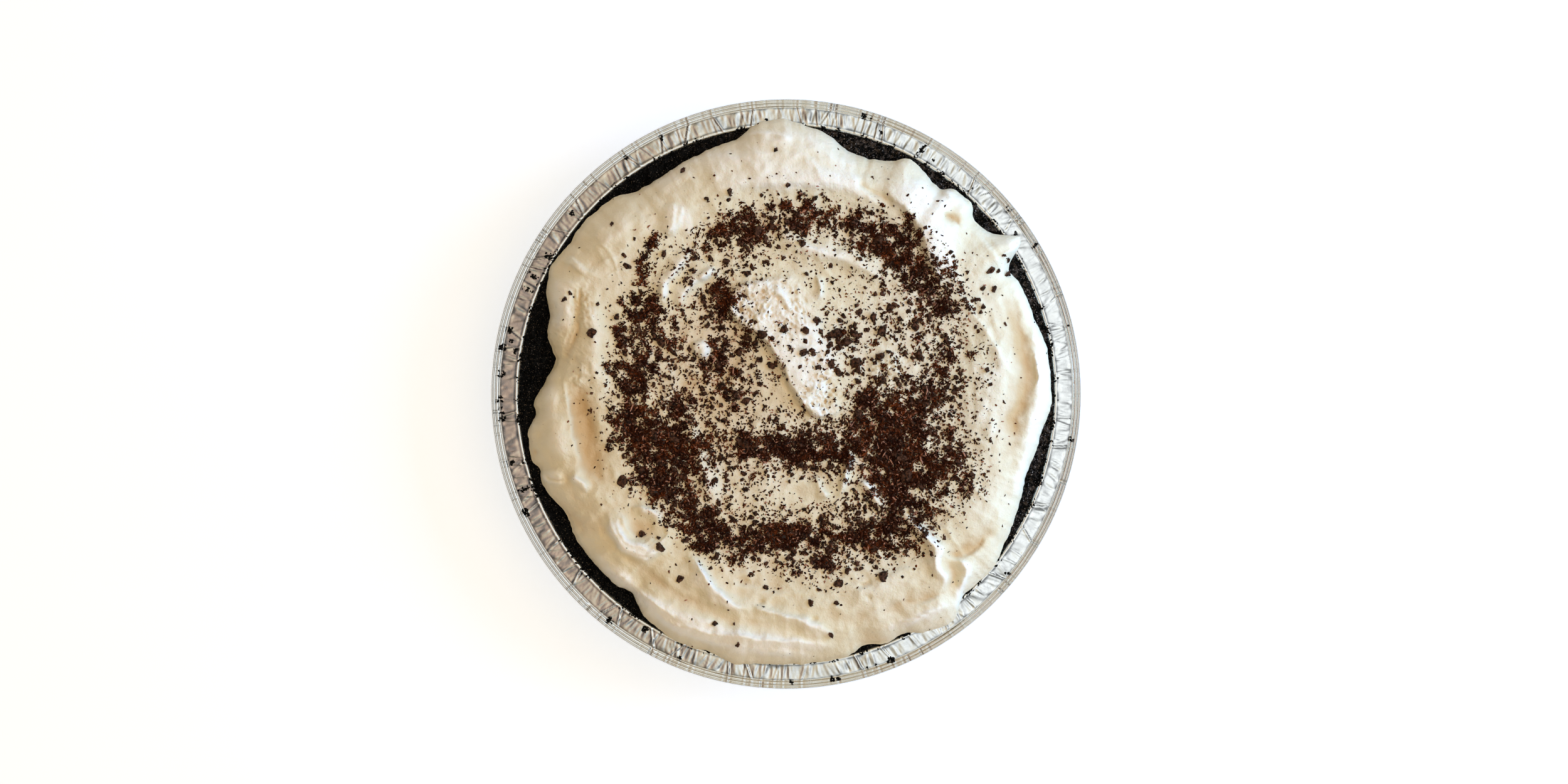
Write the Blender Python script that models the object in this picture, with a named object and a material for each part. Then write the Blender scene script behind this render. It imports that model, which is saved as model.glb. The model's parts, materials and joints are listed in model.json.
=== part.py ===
# Chocolate icebox pie, whole and uncut, in its own foil pan.
# Metres, +Z up. The pan stands on z = 0 with its axis on the Z axis.
# Three solids: the crimped foil pan, the dark crumb crust with the set filling inside it, and the
# whipped topping, whose folds are spatula strokes and whose chocolate pieces are fused to it.

import math
import random

import bmesh
import bpy
import numpy as np
from mathutils import Vector, noise

MM = 0.001

# Foil pan: a 9 inch pan, measured over its rolled rim.
RIM_RADIUS = 114.3 * MM
BASE_RADIUS = 79.0 * MM
WALL_TOP_RADIUS = 102.9 * MM
SHOULDER_RADIUS = 104.3 * MM
SHOULDER_HEIGHT = 29.5 * MM
FLANGE_FALL = 1.7 * MM
CRIMP_DEPTH = 0.3 * MM
FOIL_THICKNESS = 0.5 * MM
PAN_SEGMENTS = 76

# Crumb crust, pressed against the pan's wall.
GAP = 0.3 * MM
WALL_CLEARANCE = 1.25 * MM
CROWN_RADIUS = 97.6 * MM
CROWN_HEIGHT = 29.7 * MM
CRUST_WALL_TOP = 27.8 * MM
CRUST_SEGMENTS = 96
CRUMB_RELIEF = 0.8 * MM
CRUMB_SIZES = (5.5 * MM, 2.6 * MM)
# Lumps that stand up against the foil: degrees round from +X, and how many degrees each spans.
CRUST_LUMPS = ((23, 7), (47, 4), (74.5, 3), (96, 4), (120, 3), (150, 4), (193, 8), (241, 5), (331, 4))
LUMP_HEIGHT = 1.0 * MM
FILLING_RADIUS = 85.0 * MM
FILLING_LEVEL = 27.8 * MM

# Whipped topping, spread over the filling and the crust's crown.
TOPPING_UNDERSIDE = 30.3 * MM
TOPPING_LIP = 2.4 * MM
EDGE_BULGE = 0.35 * MM
TOPPING_DEPTH = 9.5 * MM
SHOULDER_WIDTH = 20.0 * MM
BASIN_RADIUS = 76.0 * MM
BASIN_DEPTH = 1.4 * MM
BASIN_EASE = 4.0 * MM
RIPPLE_LENGTH = 14.0 * MM
RIPPLE_HEIGHT = 0.7
STROKE_STEPS = 5
STROKE_FADE = 0.3
EDGE_FADE = 6.0 * MM
TOPPING_RINGS = 25

# Where the topping's edge lies: degrees round from +X, and millimetres from the axis.
EDGE = (
    (0, 102.2), (10, 101.8), (17, 99.8), (25, 99.5), (29.5, 97.6), (33.5, 109), (38.5, 99.5),
    (43, 98.2), (45.5, 102.6), (51, 102), (53, 98.3), (62.5, 102.4), (66, 98), (70, 96), (75, 96),
    (83, 102.4), (91, 106), (96, 105), (101, 99.7), (110, 98.3), (121, 96.2), (126, 96.6),
    (132, 101), (141, 102.2), (146, 101.6), (152, 103.2), (156, 101), (162, 95.5), (166, 95),
    (171.5, 89.3), (177, 92.5), (182, 97.4), (185, 96.5), (188, 100.5), (194.5, 101.2),
    (197, 98.8), (199.5, 100.4), (203, 99), (208, 96.3), (216, 98.3), (228, 98.6), (232, 96.6),
    (238, 102), (247, 104.3), (254, 103.4), (259, 106), (264, 104.2), (275, 104), (283, 104),
    (287, 101), (292, 103.4), (296, 102.5), (301, 106.6), (306, 108.8), (311.5, 103),
    (320, 104), (327, 101.3), (334, 99.5), (341, 97.3), (351, 99), (357, 102),
)

# Spatula strokes in the topping: a smooth line through these points, then how far the stroke reaches
# to its left and to its right, and how high it stands (below zero, how deep it is cut), in millimetres.
STROKES = (
    # The centre dollop, which ends in a cliff along its left and lower side.
    (((12, 42), (2, 44), (-12, 43), (-20.5, 38), (-21, 31), (-15, 26), (-8, 21), (-2, 12), (3, 2),
      (9, -6), (16, -8), (24, -4), (34, 4)), 6.5, 1.3, 4.0),
    (((-22, 38), (-11, 36), (0, 30), (9, 18), (15, 6), (24, -2)), 9, 10, 3.0),
    (((13, 46), (13.5, 41), (12, 35)), 1.5, 2.5, 1.6),
    # The outer bank, all round: its crest, and the step down from it to the middle.
    (((-70, 66), (-50, 80), (-25, 90), (0, 94), (22, 91), (40, 84)), 9, 11, 2.0),
    (((-14, 101), (-4, 100.5), (8, 100)), 2, 4, 1.0),
    (((-34, 75), (-18, 80), (0, 81), (16, 81), (26, 79), (34, 73.5), (40, 68)), 6, 3, 2.2),
    (((26, 81), (34, 77), (42, 73)), 2.2, 2.2, -2.0),
    (((34, 79), (45, 72), (52, 62), (55.5, 51), (62, 38)), 11, 2.2, 4.0),
    (((48, 83), (55, 76), (63, 70)), 4, 4, 1.4),
    (((60, 79), (66, 75), (72, 70)), 2.5, 3, 1.8),
    (((60, 69), (64, 67), (68, 64.5)), 2, 2, -2.4),
    (((74, 66), (80, 58), (86, 57), (92, 58)), 3.5, 3.5, 1.2),
    (((76, 60), (78, 54), (83, 50)), 2.5, 2.5, -1.6),
    (((83, 49), (91, 37), (97, 20), (98.5, 4), (95, -10), (92, -26), (87, -42), (80, -58)), 5, 4, 3.0),
    (((82, 44), (88, 28), (92, 12), (91, 0), (87, -14), (87, -30)), 4, 5, -3.2),
    (((93.5, 20), (97, 9), (95, 1)), 1.2, 1.6, 1.2),
    (((70, 24), (78, 8), (76, -8), (72, -20)), 6, 8, 1.2),
    # The lower right: a ridge that ends in a hook, a hollow, and a second ridge outside it.
    (((42, -43), (50, -51), (58, -58), (58, -65), (61, -71), (57, -78)), 2.2, 3.2, 3.4),
    (((66, -61), (69.5, -67), (67, -76), (65, -86)), 2.6, 2.6, 2.8),
    (((62, -64), (64, -70), (62, -76)), 2.2, 2.2, -1.4),
    (((58, -59), (66, -62.5), (75, -58.5), (83, -50)), 6, 1.4, -2.4),
    (((33, -91), (44, -88), (56, -83), (64, -78)), 3.5, 3.5, 1.8),
    (((34, -84), (48, -80), (57, -76)), 3, 3, -1.6),
    (((24, -78), (38, -73), (52, -66)), 4, 4, 1.2),
    # The bottom: a long bright bank, and the bank inside it.
    (((-80, -50), (-70, -65), (-56, -77), (-38, -88), (-18, -94), (4, -97), (26, -95)), 5, 5, 3.0),
    (((-70, -58), (-56, -70), (-38, -80), (-18, -87), (6, -91)), 4, 4, -2.0),
    (((-2, -83), (8, -87), (18, -92)), 2.5, 2.5, 1.8),
    (((-36, -61), (-31, -71), (-23, -79), (-12, -83)), 2.4, 4.5, 2.4),
    # The lower left: a swirled knob, with a raised lip round a dish.
    (((-66, -44), (-67, -52), (-61, -59), (-52, -61), (-46, -56)), 2.2, 3, 2.8),
    (((-60, -45), (-53, -43), (-47, -48)), 3, 3, 1.4),
    (((-56, -51), (-54, -53)), 3, 3, -1.0),
    # The left: a tall fold along the edge, a valley beside it, and small curls on the rim.
    (((-83, 50), (-86, 42), (-84, 30), (-87, 18)), 3.4, 4.5, 3.2),
    (((-80, 43), (-79.5, 35), (-82, 24), (-86, 13)), 1.4, 1.4, -2.4),
    (((-87, 14), (-91, 2), (-90, -8), (-87, -20), (-84, -34)), 3, 4.5, 3.2),
    (((-80, 8), (-79, -8), (-76, -24), (-72, -38)), 4.5, 4, -2.8),
    (((-76, 40), (-74, 26), (-74, 10), (-70, -4)), 4, 4, 1.6),
    (((-94, -29), (-89, -32), (-84, -31)), 2.4, 2.4, 2.4),
    (((-82, -31), (-79, -35), (-76, -38)), 2, 2.6, 2.0),
    (((-97, -6), (-98, -14)), 2.4, 2.4, 1.6),
    (((-82, 48), (-80, 51)), 4.5, 4.5, 1.6),
    (((-75, 57), (-66, 62), (-58, 70)), 6, 6, 1.2),
    # The middle: blades that the spatula pulled up.
    (((-44, 74), (-43, 66), (-46, 60)), 1.6, 5, 2.2),
    (((-28, 49), (-33, 44), (-39, 39), (-41, 33)), 1.8, 4, 3.0),
    (((-36, 55), (-42, 48), (-47, 40), (-48, 34)), 1.8, 4, 2.6),
    (((-34, 18), (-31, 15.5)), 2.8, 2.8, 3.0),
    (((-4, 70), (-1, 62), (4, 57), (16, 54), (30, 49), (44, 38)), 4.5, 3, 2.0),
    (((24.5, -20), (24, -26), (22, -34), (20, -40)), 1.8, 1.8, 3.2),
    (((11, -31), (13, -36), (16, -40)), 2, 2.6, 2.2),
    (((28, -33), (33, -38), (38, -45)), 2.2, 3, 2.8),
    (((-37, -6), (-35, -18), (-30, -32), (-26, -46)), 3, 4, 1.8),
)

# Where the chocolate lies thickest: the middle of each patch, its radius and its share of pieces.
PATCHES = (
    (38, 58, 9, 8), (50, 50, 8, 8), (57, 36, 8, 6), (60, 8, 9, 4), (20, 23, 6, 6), (20, 9, 9, 6),
    (-12, 21, 4, 3), (-28, 37, 6, 4), (-26, 14, 7, 3), (-59, 32, 8, 6), (-58, 10, 9, 6),
    (-50, -18, 13, 10), (-45, -34, 8, 4), (-16, -20, 6, 3), (4, -21, 9, 5), (34, -18, 12, 9),
    (46, -34, 8, 5), (62, -27, 8, 4), (-29, -55, 8, 6), (-6, -57, 8, 3), (14, -60, 7, 4),
    (38, -56, 7, 4), (51, -47, 4, 2), (-52, 56, 6, 3), (-12, 63, 10, 5), (9, 70, 8, 5),
    (-22, -74, 16, 3), (16, -76, 14, 3), (82, 46, 7, 2), (-20, 5, 18, 4),
)
CHIP_SEED = 21
CHIP_COUNT = 120
CHIP_LENGTHS = (3.0 * MM, 6.8 * MM)
CHIP_SPACING = 2.6 * MM


def clear_scene():
    for obj in list(bpy.data.objects):
        bpy.data.objects.remove(obj, do_unlink=True)


def material(name, colour, roughness, metallic=0.0):
    made = bpy.data.materials.new(name)
    made.use_nodes = True
    shader = made.node_tree.nodes["Principled BSDF"]
    shader.inputs["Base Color"].default_value = (*colour, 1.0)
    shader.inputs["Roughness"].default_value = roughness
    shader.inputs["Metallic"].default_value = metallic
    return made


def add_object(name, mesh, finish, collection=None):
    obj = bpy.data.objects.new(name, mesh)
    mesh.materials.append(finish)
    (collection or bpy.context.scene.collection).objects.link(obj)
    return obj


def mesh_from(build):
    """A new mesh, filled by build, which is given an empty bmesh."""
    bm = bmesh.new()
    build(bm)
    mesh = bpy.data.meshes.new("shape")
    bm.to_mesh(mesh)
    bm.free()
    return mesh


def turn(count):
    """So many angles, evenly spaced round the axis."""
    return math.tau * np.arange(count) / count


def ring(bm, radii, heights):
    """Points evenly round the axis, one for each radius, at these heights."""
    angles = turn(len(radii))
    spots = zip(radii * np.cos(angles), radii * np.sin(angles), heights)
    return [bm.verts.new(spot) for spot in spots]


def level_ring(bm, radii, height):
    return ring(bm, radii, np.full(len(radii), height))


def bridge(bm, lower, upper):
    count = len(lower)
    for a in range(count):
        b = (a + 1) % count
        bm.faces.new((lower[a], lower[b], upper[b], upper[a]))


# Foil pan

def pan_profile():
    """The foil's lower surface, (radius, height) from the bottom's edge to the rolled rim."""
    wall_top = SHOULDER_HEIGHT - 1.1 * MM
    return [
        (BASE_RADIUS, 0.0),
        (BASE_RADIUS + 1.9 * MM, 1.4 * MM),
        (WALL_TOP_RADIUS, wall_top),
        (SHOULDER_RADIUS, SHOULDER_HEIGHT),
        (SHOULDER_RADIUS + 1.6 * MM, SHOULDER_HEIGHT - 0.25 * FLANGE_FALL),
        (SHOULDER_RADIUS + 3.8 * MM, SHOULDER_HEIGHT - 0.65 * FLANGE_FALL),
        (SHOULDER_RADIUS + 6.2 * MM, SHOULDER_HEIGHT - FLANGE_FALL),
        (RIM_RADIUS - 2.2 * MM, SHOULDER_HEIGHT - 0.2 * MM),
        (RIM_RADIUS - 0.3 * MM, SHOULDER_HEIGHT - 1.6 * MM),
    ]


def build_pan(bm):
    crimped = 5
    crimps = np.where(np.arange(PAN_SEGMENTS) % 2, CRIMP_DEPTH, -CRIMP_DEPTH)
    rings = []
    for level, (radius, height) in enumerate(pan_profile()):
        heights = height + crimps * (level == crimped)
        rings.append(ring(bm, np.full(PAN_SEGMENTS, radius), heights))
    bm.faces.new(list(reversed(rings[0])))
    for lower, upper in zip(rings, rings[1:]):
        bridge(bm, lower, upper)


def make_pan():
    foil = material("aluminium_foil", (0.78, 0.78, 0.76), 0.3, 1.0)
    pan = add_object("foil_pan", mesh_from(build_pan), foil)
    solidify = pan.modifiers.new("foil", "SOLIDIFY")
    solidify.thickness = FOIL_THICKNESS
    solidify.offset = -1.0
    solidify.use_even_offset = True
    pan.data.shade_smooth()
    return pan


def wall_radius(height):
    """The pan's outer wall at this height."""
    foot, top = pan_profile()[1:3]
    share = (height - foot[1]) / (top[1] - foot[1])
    return foot[0] + share * (top[0] - foot[0])


# Crumb crust

def crumbs(angle, radius, height):
    """Pressed crumbs: lumps of two sizes."""
    spot = Vector((radius * math.cos(angle), radius * math.sin(angle), height))
    coarse, fine = (noise.noise(spot / size + Vector((7, 3, 1))) for size in CRUMB_SIZES)
    return CRUMB_RELIEF * (0.6 * coarse + 0.55 * fine)


def lump(angle):
    """How high the lumps against the foil stand at an angle in radians."""
    degrees = math.degrees(angle)
    return LUMP_HEIGHT * sum(math.exp(-(((degrees - at) / span) ** 2)) for at, span in CRUST_LUMPS)


def crust_profile():
    """(radius, height, share of the relief), from the bottom's edge up and in to the filling."""
    bottom = FOIL_THICKNESS + GAP
    return [
        (BASE_RADIUS - 0.6 * MM, bottom, 0.0),
        (wall_radius(CRUST_WALL_TOP * 0.5) - WALL_CLEARANCE, CRUST_WALL_TOP * 0.5, 0.0),
        (wall_radius(CRUST_WALL_TOP) - WALL_CLEARANCE, CRUST_WALL_TOP, 0.0),
        (CROWN_RADIUS + 3.2 * MM, CROWN_HEIGHT - 0.7 * MM, 0.5),
        (CROWN_RADIUS + 1.4 * MM, CROWN_HEIGHT - 0.35 * MM, 0.7),
        (CROWN_RADIUS - 0.8 * MM, CROWN_HEIGHT - 0.3 * MM, 0.8),
        (CROWN_RADIUS - 3.2 * MM, CROWN_HEIGHT - 0.9 * MM, 0.9),
        (CROWN_RADIUS - 5.6 * MM, CROWN_HEIGHT - 1.6 * MM, 0.9),
        (CROWN_RADIUS - 8.4 * MM, FILLING_LEVEL + 0.2 * MM, 0.5),
        (FILLING_RADIUS, FILLING_LEVEL, 0.0),
    ]


def build_crust(bm):
    rings = []
    for radius, height, share in crust_profile():
        relief = [crumbs(angle, radius, height) + lump(angle) for angle in turn(CRUST_SEGMENTS)]
        heights = np.minimum(height + share * np.array(relief), TOPPING_UNDERSIDE - GAP)
        rings.append(ring(bm, np.full(CRUST_SEGMENTS, radius), heights))
    bm.faces.new(list(reversed(rings[0])))
    for lower, upper in zip(rings, rings[1:]):
        bridge(bm, lower, upper)
    bm.faces.new(rings[-1])


def make_crust():
    crumb = material("cookie_crumb", (0.02, 0.015, 0.013), 0.85)
    crust = add_object("crumb_crust", mesh_from(build_crust), crumb)
    crust.data.shade_smooth()
    return crust


# Whipped topping

def edge_radius(angle):
    """The topping's edge at angles in radians: between the points of EDGE it eases from one to the next."""
    degrees = np.degrees(angle) % 360.0
    turns = np.array([at for at, _ in EDGE] + [360.0])
    radii = np.array([radius for _, radius in EDGE] + [EDGE[0][1]])
    before = np.searchsorted(turns, degrees, side="right") - 1
    share = (degrees - turns[before]) / (turns[before + 1] - turns[before])
    eased = 0.5 * share + share * share * (1.5 - share)
    return (radii[before] + (radii[before + 1] - radii[before]) * eased) * MM


def smooth_line(points):
    """A Catmull-Rom curve through the points, as closely spaced points of its own."""
    knots = np.array([points[0], *points, points[-1]], float)
    spans = []
    for p0, p1, p2, p3 in zip(knots, knots[1:], knots[2:], knots[3:]):
        for t in np.arange(STROKE_STEPS) / STROKE_STEPS:
            bend = (2 * p0 - 5 * p1 + 4 * p2 - p3) * t**2 + (3 * p1 - p0 - 3 * p2 + p3) * t**3
            spans.append(0.5 * (2 * p1 + (p2 - p0) * t + bend))
    return np.array([*spans, knots[-1]])


def stroke_height(x, y, stroke):
    """What one spatula stroke adds at the points (x, y), all in millimetres: it fades out at both ends."""
    points, left_reach, right_reach, height = stroke
    line = smooth_line(points)
    nearest = np.full(x.shape, np.inf)
    side = np.zeros(x.shape)
    passed = np.zeros(x.shape)
    for number, ((ax, ay), (bx, by)) in enumerate(zip(line, line[1:])):
        dx, dy = bx - ax, by - ay
        along = np.clip(((x - ax) * dx + (y - ay) * dy) / (dx * dx + dy * dy), 0.0, 1.0)
        px, py = x - ax - along * dx, y - ay - along * dy
        distance = np.hypot(px, py)
        closer = distance < nearest
        nearest = np.where(closer, distance, nearest)
        side = np.where(closer, dx * py - dy * px, side)
        passed = np.where(closer, (number + along) / (len(line) - 1), passed)
    reach = np.where(side > 0.0, left_reach, right_reach)
    fade = np.minimum(1.0, np.minimum(passed, 1.0 - passed) / STROKE_FADE)
    return height * fade * fade * (3.0 - 2.0 * fade) * np.exp(-((nearest / reach) ** 2))


def ripples(x, y):
    """The slow unevenness of a surface spread by hand, in millimetres."""
    spots = np.stack([x, y, np.zeros_like(x)], -1).reshape(-1, 3)
    heights = [noise.noise(Vector(spot) / RIPPLE_LENGTH) for spot in spots]
    return RIPPLE_HEIGHT * np.array(heights).reshape(x.shape)


def topping_height(x, y):
    """The topping's upper surface at the points (x, y), in metres."""
    radius = np.hypot(x, y)
    inwards = np.maximum(0.0, edge_radius(np.arctan2(y, x)) - radius)
    share = np.minimum(1.0, inwards / SHOULDER_WIDTH)
    basin = 1.0 / (1.0 + np.exp((radius - BASIN_RADIUS) / BASIN_EASE))
    body = TOPPING_DEPTH * (1.0 - (1.0 - share) ** 2.4) - BASIN_DEPTH * basin
    swept = ripples(x, y)
    for stroke in STROKES:
        swept = swept + stroke_height(x / MM, y / MM, stroke)
    swept = swept * MM * np.minimum(1.0, 0.3 + inwards / EDGE_FADE)
    return TOPPING_UNDERSIDE + TOPPING_LIP + np.maximum(body + swept, -0.6 * MM)


def build_topping(bm):
    """A disc of rings, the nth with 6n points, closed by a rounded edge and a stepped underside."""
    rings = []
    for n in range(1, TOPPING_RINGS + 1):
        angles = turn(6 * n)
        radii = edge_radius(angles) * n / TOPPING_RINGS
        heights = topping_height(radii * np.cos(angles), radii * np.sin(angles))
        rings.append(ring(bm, radii, heights))
    middle = topping_height(np.zeros(1), np.zeros(1))
    rings.insert(0, [bm.verts.new((0.0, 0.0, middle[0]))])
    for n in range(1, TOPPING_RINGS + 1):
        outer, inner = rings[n], rings[n - 1]
        for sector in range(6):
            for k in range(n):
                a = outer[sector * n + k]
                b = outer[(sector * n + k + 1) % (6 * n)]
                c = inner[(sector * (n - 1) + k) % len(inner)]
                bm.faces.new((a, b, c))
                if k < n - 1:
                    d = inner[(sector * (n - 1) + k + 1) % len(inner)]
                    bm.faces.new((b, d, c))
    edge = edge_radius(turn(6 * TOPPING_RINGS))
    below = [
        level_ring(bm, edge + EDGE_BULGE, TOPPING_UNDERSIDE + 0.45 * TOPPING_LIP),
        level_ring(bm, edge * 0.985, TOPPING_UNDERSIDE),
        level_ring(bm, np.minimum(edge * 0.96, FILLING_RADIUS + 7.0 * MM), TOPPING_UNDERSIDE),
        level_ring(bm, np.full(len(edge), FILLING_RADIUS - 1.0 * MM), FILLING_LEVEL + GAP),
    ]
    for upper, lower in zip([rings[-1], *below], below):
        bridge(bm, lower, upper)
    bm.faces.new(list(reversed(below[-1])))


def chip_places():
    """Where the larger pieces of chocolate lie: drawn in each patch, none closer than the spacing."""
    draw = random.Random(CHIP_SEED)
    shares = sum(share for *_, share in PATCHES)
    places = []
    for x, y, spread, share in PATCHES:
        count = round(CHIP_COUNT * share / shares)
        wanted = len(places) + count
        for _ in range(count * 40):
            if len(places) == wanted:
                break
            bearing, reach = draw.uniform(0, math.tau), spread * MM * math.sqrt(draw.random())
            spot = (x * MM + reach * math.cos(bearing), y * MM + reach * math.sin(bearing))
            if all(math.dist(spot, other) > CHIP_SPACING for other in places):
                places.append(spot)
    return places


def build_chip(bm, draw):
    """A broken shard of chocolate: a box with uneven corners, narrower at the top."""
    length = draw.triangular(*CHIP_LENGTHS, CHIP_LENGTHS[0] * 1.3)
    width = length * draw.uniform(0.55, 0.85)
    height = length * draw.uniform(0.4, 0.6) + 1.6 * MM
    bmesh.ops.create_cube(bm, size=1.0)
    for corner in bm.verts:
        top = corner.co.z > 0
        taper = draw.uniform(0.5, 0.8) if top else draw.uniform(0.9, 1.1)
        corner.co.x *= length * taper * draw.uniform(0.85, 1.1)
        corner.co.y *= width * taper * draw.uniform(0.85, 1.1)
        corner.co.z *= height * draw.uniform(0.75, 1.1)


def fuse_chips(topping):
    """Sinks each piece of chocolate half way into the topping and joins them all to it."""
    draw = random.Random(CHIP_SEED + 1)
    chocolate = material("dark_chocolate", (0.06, 0.025, 0.015), 0.5)
    chips = bpy.data.collections.new("chips")
    bpy.context.scene.collection.children.link(chips)
    places = chip_places()
    heights = topping_height(*np.array(places).T)
    for number, ((x, y), height) in enumerate(zip(places, heights)):
        chip = add_object(f"chip_{number}", mesh_from(lambda bm: build_chip(bm, draw)), chocolate, chips)
        chip.location = (x, y, height + 0.1 * MM)
        chip.rotation_euler = (draw.uniform(-0.3, 0.3), draw.uniform(-0.3, 0.3), draw.uniform(0, math.tau))
    union = topping.modifiers.new("chocolate", "BOOLEAN")
    union.operation = "UNION"
    union.operand_type = "COLLECTION"
    union.collection = chips
    union.solver = "MANIFOLD"
    bpy.context.view_layer.objects.active = topping
    bpy.ops.object.modifier_apply(modifier=union.name)
    for chip in list(chips.objects):
        bpy.data.objects.remove(chip, do_unlink=True)
    bpy.data.collections.remove(chips)


def make_topping():
    whipped = material("whipped_cream", (0.86, 0.79, 0.68), 0.55)
    topping = add_object("whipped_cream", mesh_from(build_topping), whipped)
    fuse_chips(topping)
    topping.data.shade_smooth()
    topping.data.set_sharp_from_angle(angle=math.radians(40))
    return topping


def main():
    clear_scene()
    make_pan()
    make_crust()
    make_topping()


main()
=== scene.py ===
# Chocolate icebox pie, whole and uncut, in its foil pan.
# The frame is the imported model's: +Z up, the pan's flat bottom on z = 0, its axis on the Z axis.
# Lengths in the dictionaries are millimetres and angles are degrees round from +X.

import json
import math
import random

import bmesh
import bpy
import numpy as np
from mathutils import Matrix, Vector, noise

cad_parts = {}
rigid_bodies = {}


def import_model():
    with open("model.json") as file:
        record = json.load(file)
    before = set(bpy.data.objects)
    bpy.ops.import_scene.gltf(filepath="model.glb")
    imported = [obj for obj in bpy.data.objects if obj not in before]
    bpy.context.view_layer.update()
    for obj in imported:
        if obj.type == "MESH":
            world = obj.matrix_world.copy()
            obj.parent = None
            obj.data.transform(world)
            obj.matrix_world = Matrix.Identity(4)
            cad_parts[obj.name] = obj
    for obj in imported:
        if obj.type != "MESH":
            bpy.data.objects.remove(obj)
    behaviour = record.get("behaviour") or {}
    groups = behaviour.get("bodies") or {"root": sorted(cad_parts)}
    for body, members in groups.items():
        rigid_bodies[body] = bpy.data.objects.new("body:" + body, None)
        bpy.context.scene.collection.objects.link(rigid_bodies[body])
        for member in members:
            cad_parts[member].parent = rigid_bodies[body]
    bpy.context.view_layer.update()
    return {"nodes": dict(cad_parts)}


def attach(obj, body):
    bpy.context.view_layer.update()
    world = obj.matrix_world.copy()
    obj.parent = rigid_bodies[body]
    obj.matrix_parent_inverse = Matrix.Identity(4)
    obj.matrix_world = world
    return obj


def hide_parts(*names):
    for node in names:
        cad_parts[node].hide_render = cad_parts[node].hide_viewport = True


mm = 0.001
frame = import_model()
print("frame:", ", ".join(sorted(frame["nodes"])))


# Camera, lights and floor

shot = {"distance": 1600.0, "frameWidth": 606.5, "rimHeight": 28.3, "aim": (-0.85, 0.79)}

window = {"place": (0.37, 0.08, 0.225), "size": (0.4, 0.36), "watts": 2.45, "colour": "#90c2f4"}  # metres

room = {  # the tones that mirror-like things show, from the -X side to the +X side, and what lights matt ones
    "tones": ((0.0, "#7d7b77"), (0.18, "#8b847f"), (0.26, "#a1887a"), (0.35, "#b5a38f"), (0.47, "#bfb39a"),
              (0.57, "#c9c9bf"), (0.7, "#ecf3f6"), (1.0, "#f4f8fc")),
    "bow": 0.4, "heights": (0.5, 0.9), "strengths": (0.22, 1.5),
    "shadowSide": "#241a10", "lightSide": "#ffdeb0", "fill": 1.66,
}

paper = {  # on a light table; reach and depth are metres
    "reach": 3.0, "depth": 0.0002, "colours": ("#d6e6ff", "#d0e1fb"), "patches": 90.0,
    "table": "#fefefc", "glow": 0.53,
}


def linear(colour):  # sRGB hex to the linear colour that a shader takes
    parts = [int(colour[at:at + 2], 16) / 255 for at in (1, 3, 5)]
    return (*(p / 12.92 if p <= 0.04045 else ((p + 0.055) / 1.055) ** 2.4 for p in parts), 1.0)


def setInputs(tree, node, inputs):  # an input is a value, or the socket that feeds it
    for name, value in inputs.items():
        if isinstance(value, bpy.types.NodeSocket):
            tree.links.new(value, node.inputs[name])
        else:
            node.inputs[name].default_value = value


def addNode(tree, kind, inputs=None, **settings):
    node = tree.nodes.new(kind)
    for name, value in settings.items():
        setattr(node, name, value)
    setInputs(tree, node, inputs or {})
    return node


def calculate(tree, operation, first, second=0.0):
    return addNode(tree, "ShaderNodeMath", {0: first, 1: second}, operation=operation).outputs[0]


def times(tree, first, second):
    return calculate(tree, "MULTIPLY", first, second)


def vectorMath(tree, operation, first, second=(0.0, 0.0, 0.0)):
    return addNode(tree, "ShaderNodeVectorMath", {0: first, 1: second}, operation=operation).outputs[0]


def scaled(tree, vector, amount):
    return addNode(tree, "ShaderNodeVectorMath", {0: vector, "Scale": amount}, operation="SCALE").outputs[0]


def combined(tree, x=0.0, y=0.0, z=0.0):
    return addNode(tree, "ShaderNodeCombineXYZ", {0: x, 1: y, 2: z}).outputs[0]


def makeCamera():
    lens = bpy.data.cameras.new("cameraAbove")
    lens.sensor_width = 36.0
    lens.lens = lens.sensor_width * shot["distance"] / shot["frameWidth"]
    lens.clip_start, lens.clip_end = 0.01, 20.0
    viewer = bpy.data.objects.new("cameraAbove", lens)
    viewer.location = (shot["aim"][0] * mm, shot["aim"][1] * mm, (shot["distance"] + shot["rimHeight"]) * mm)
    bpy.context.scene.collection.objects.link(viewer)
    bpy.context.scene.camera = viewer


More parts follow.
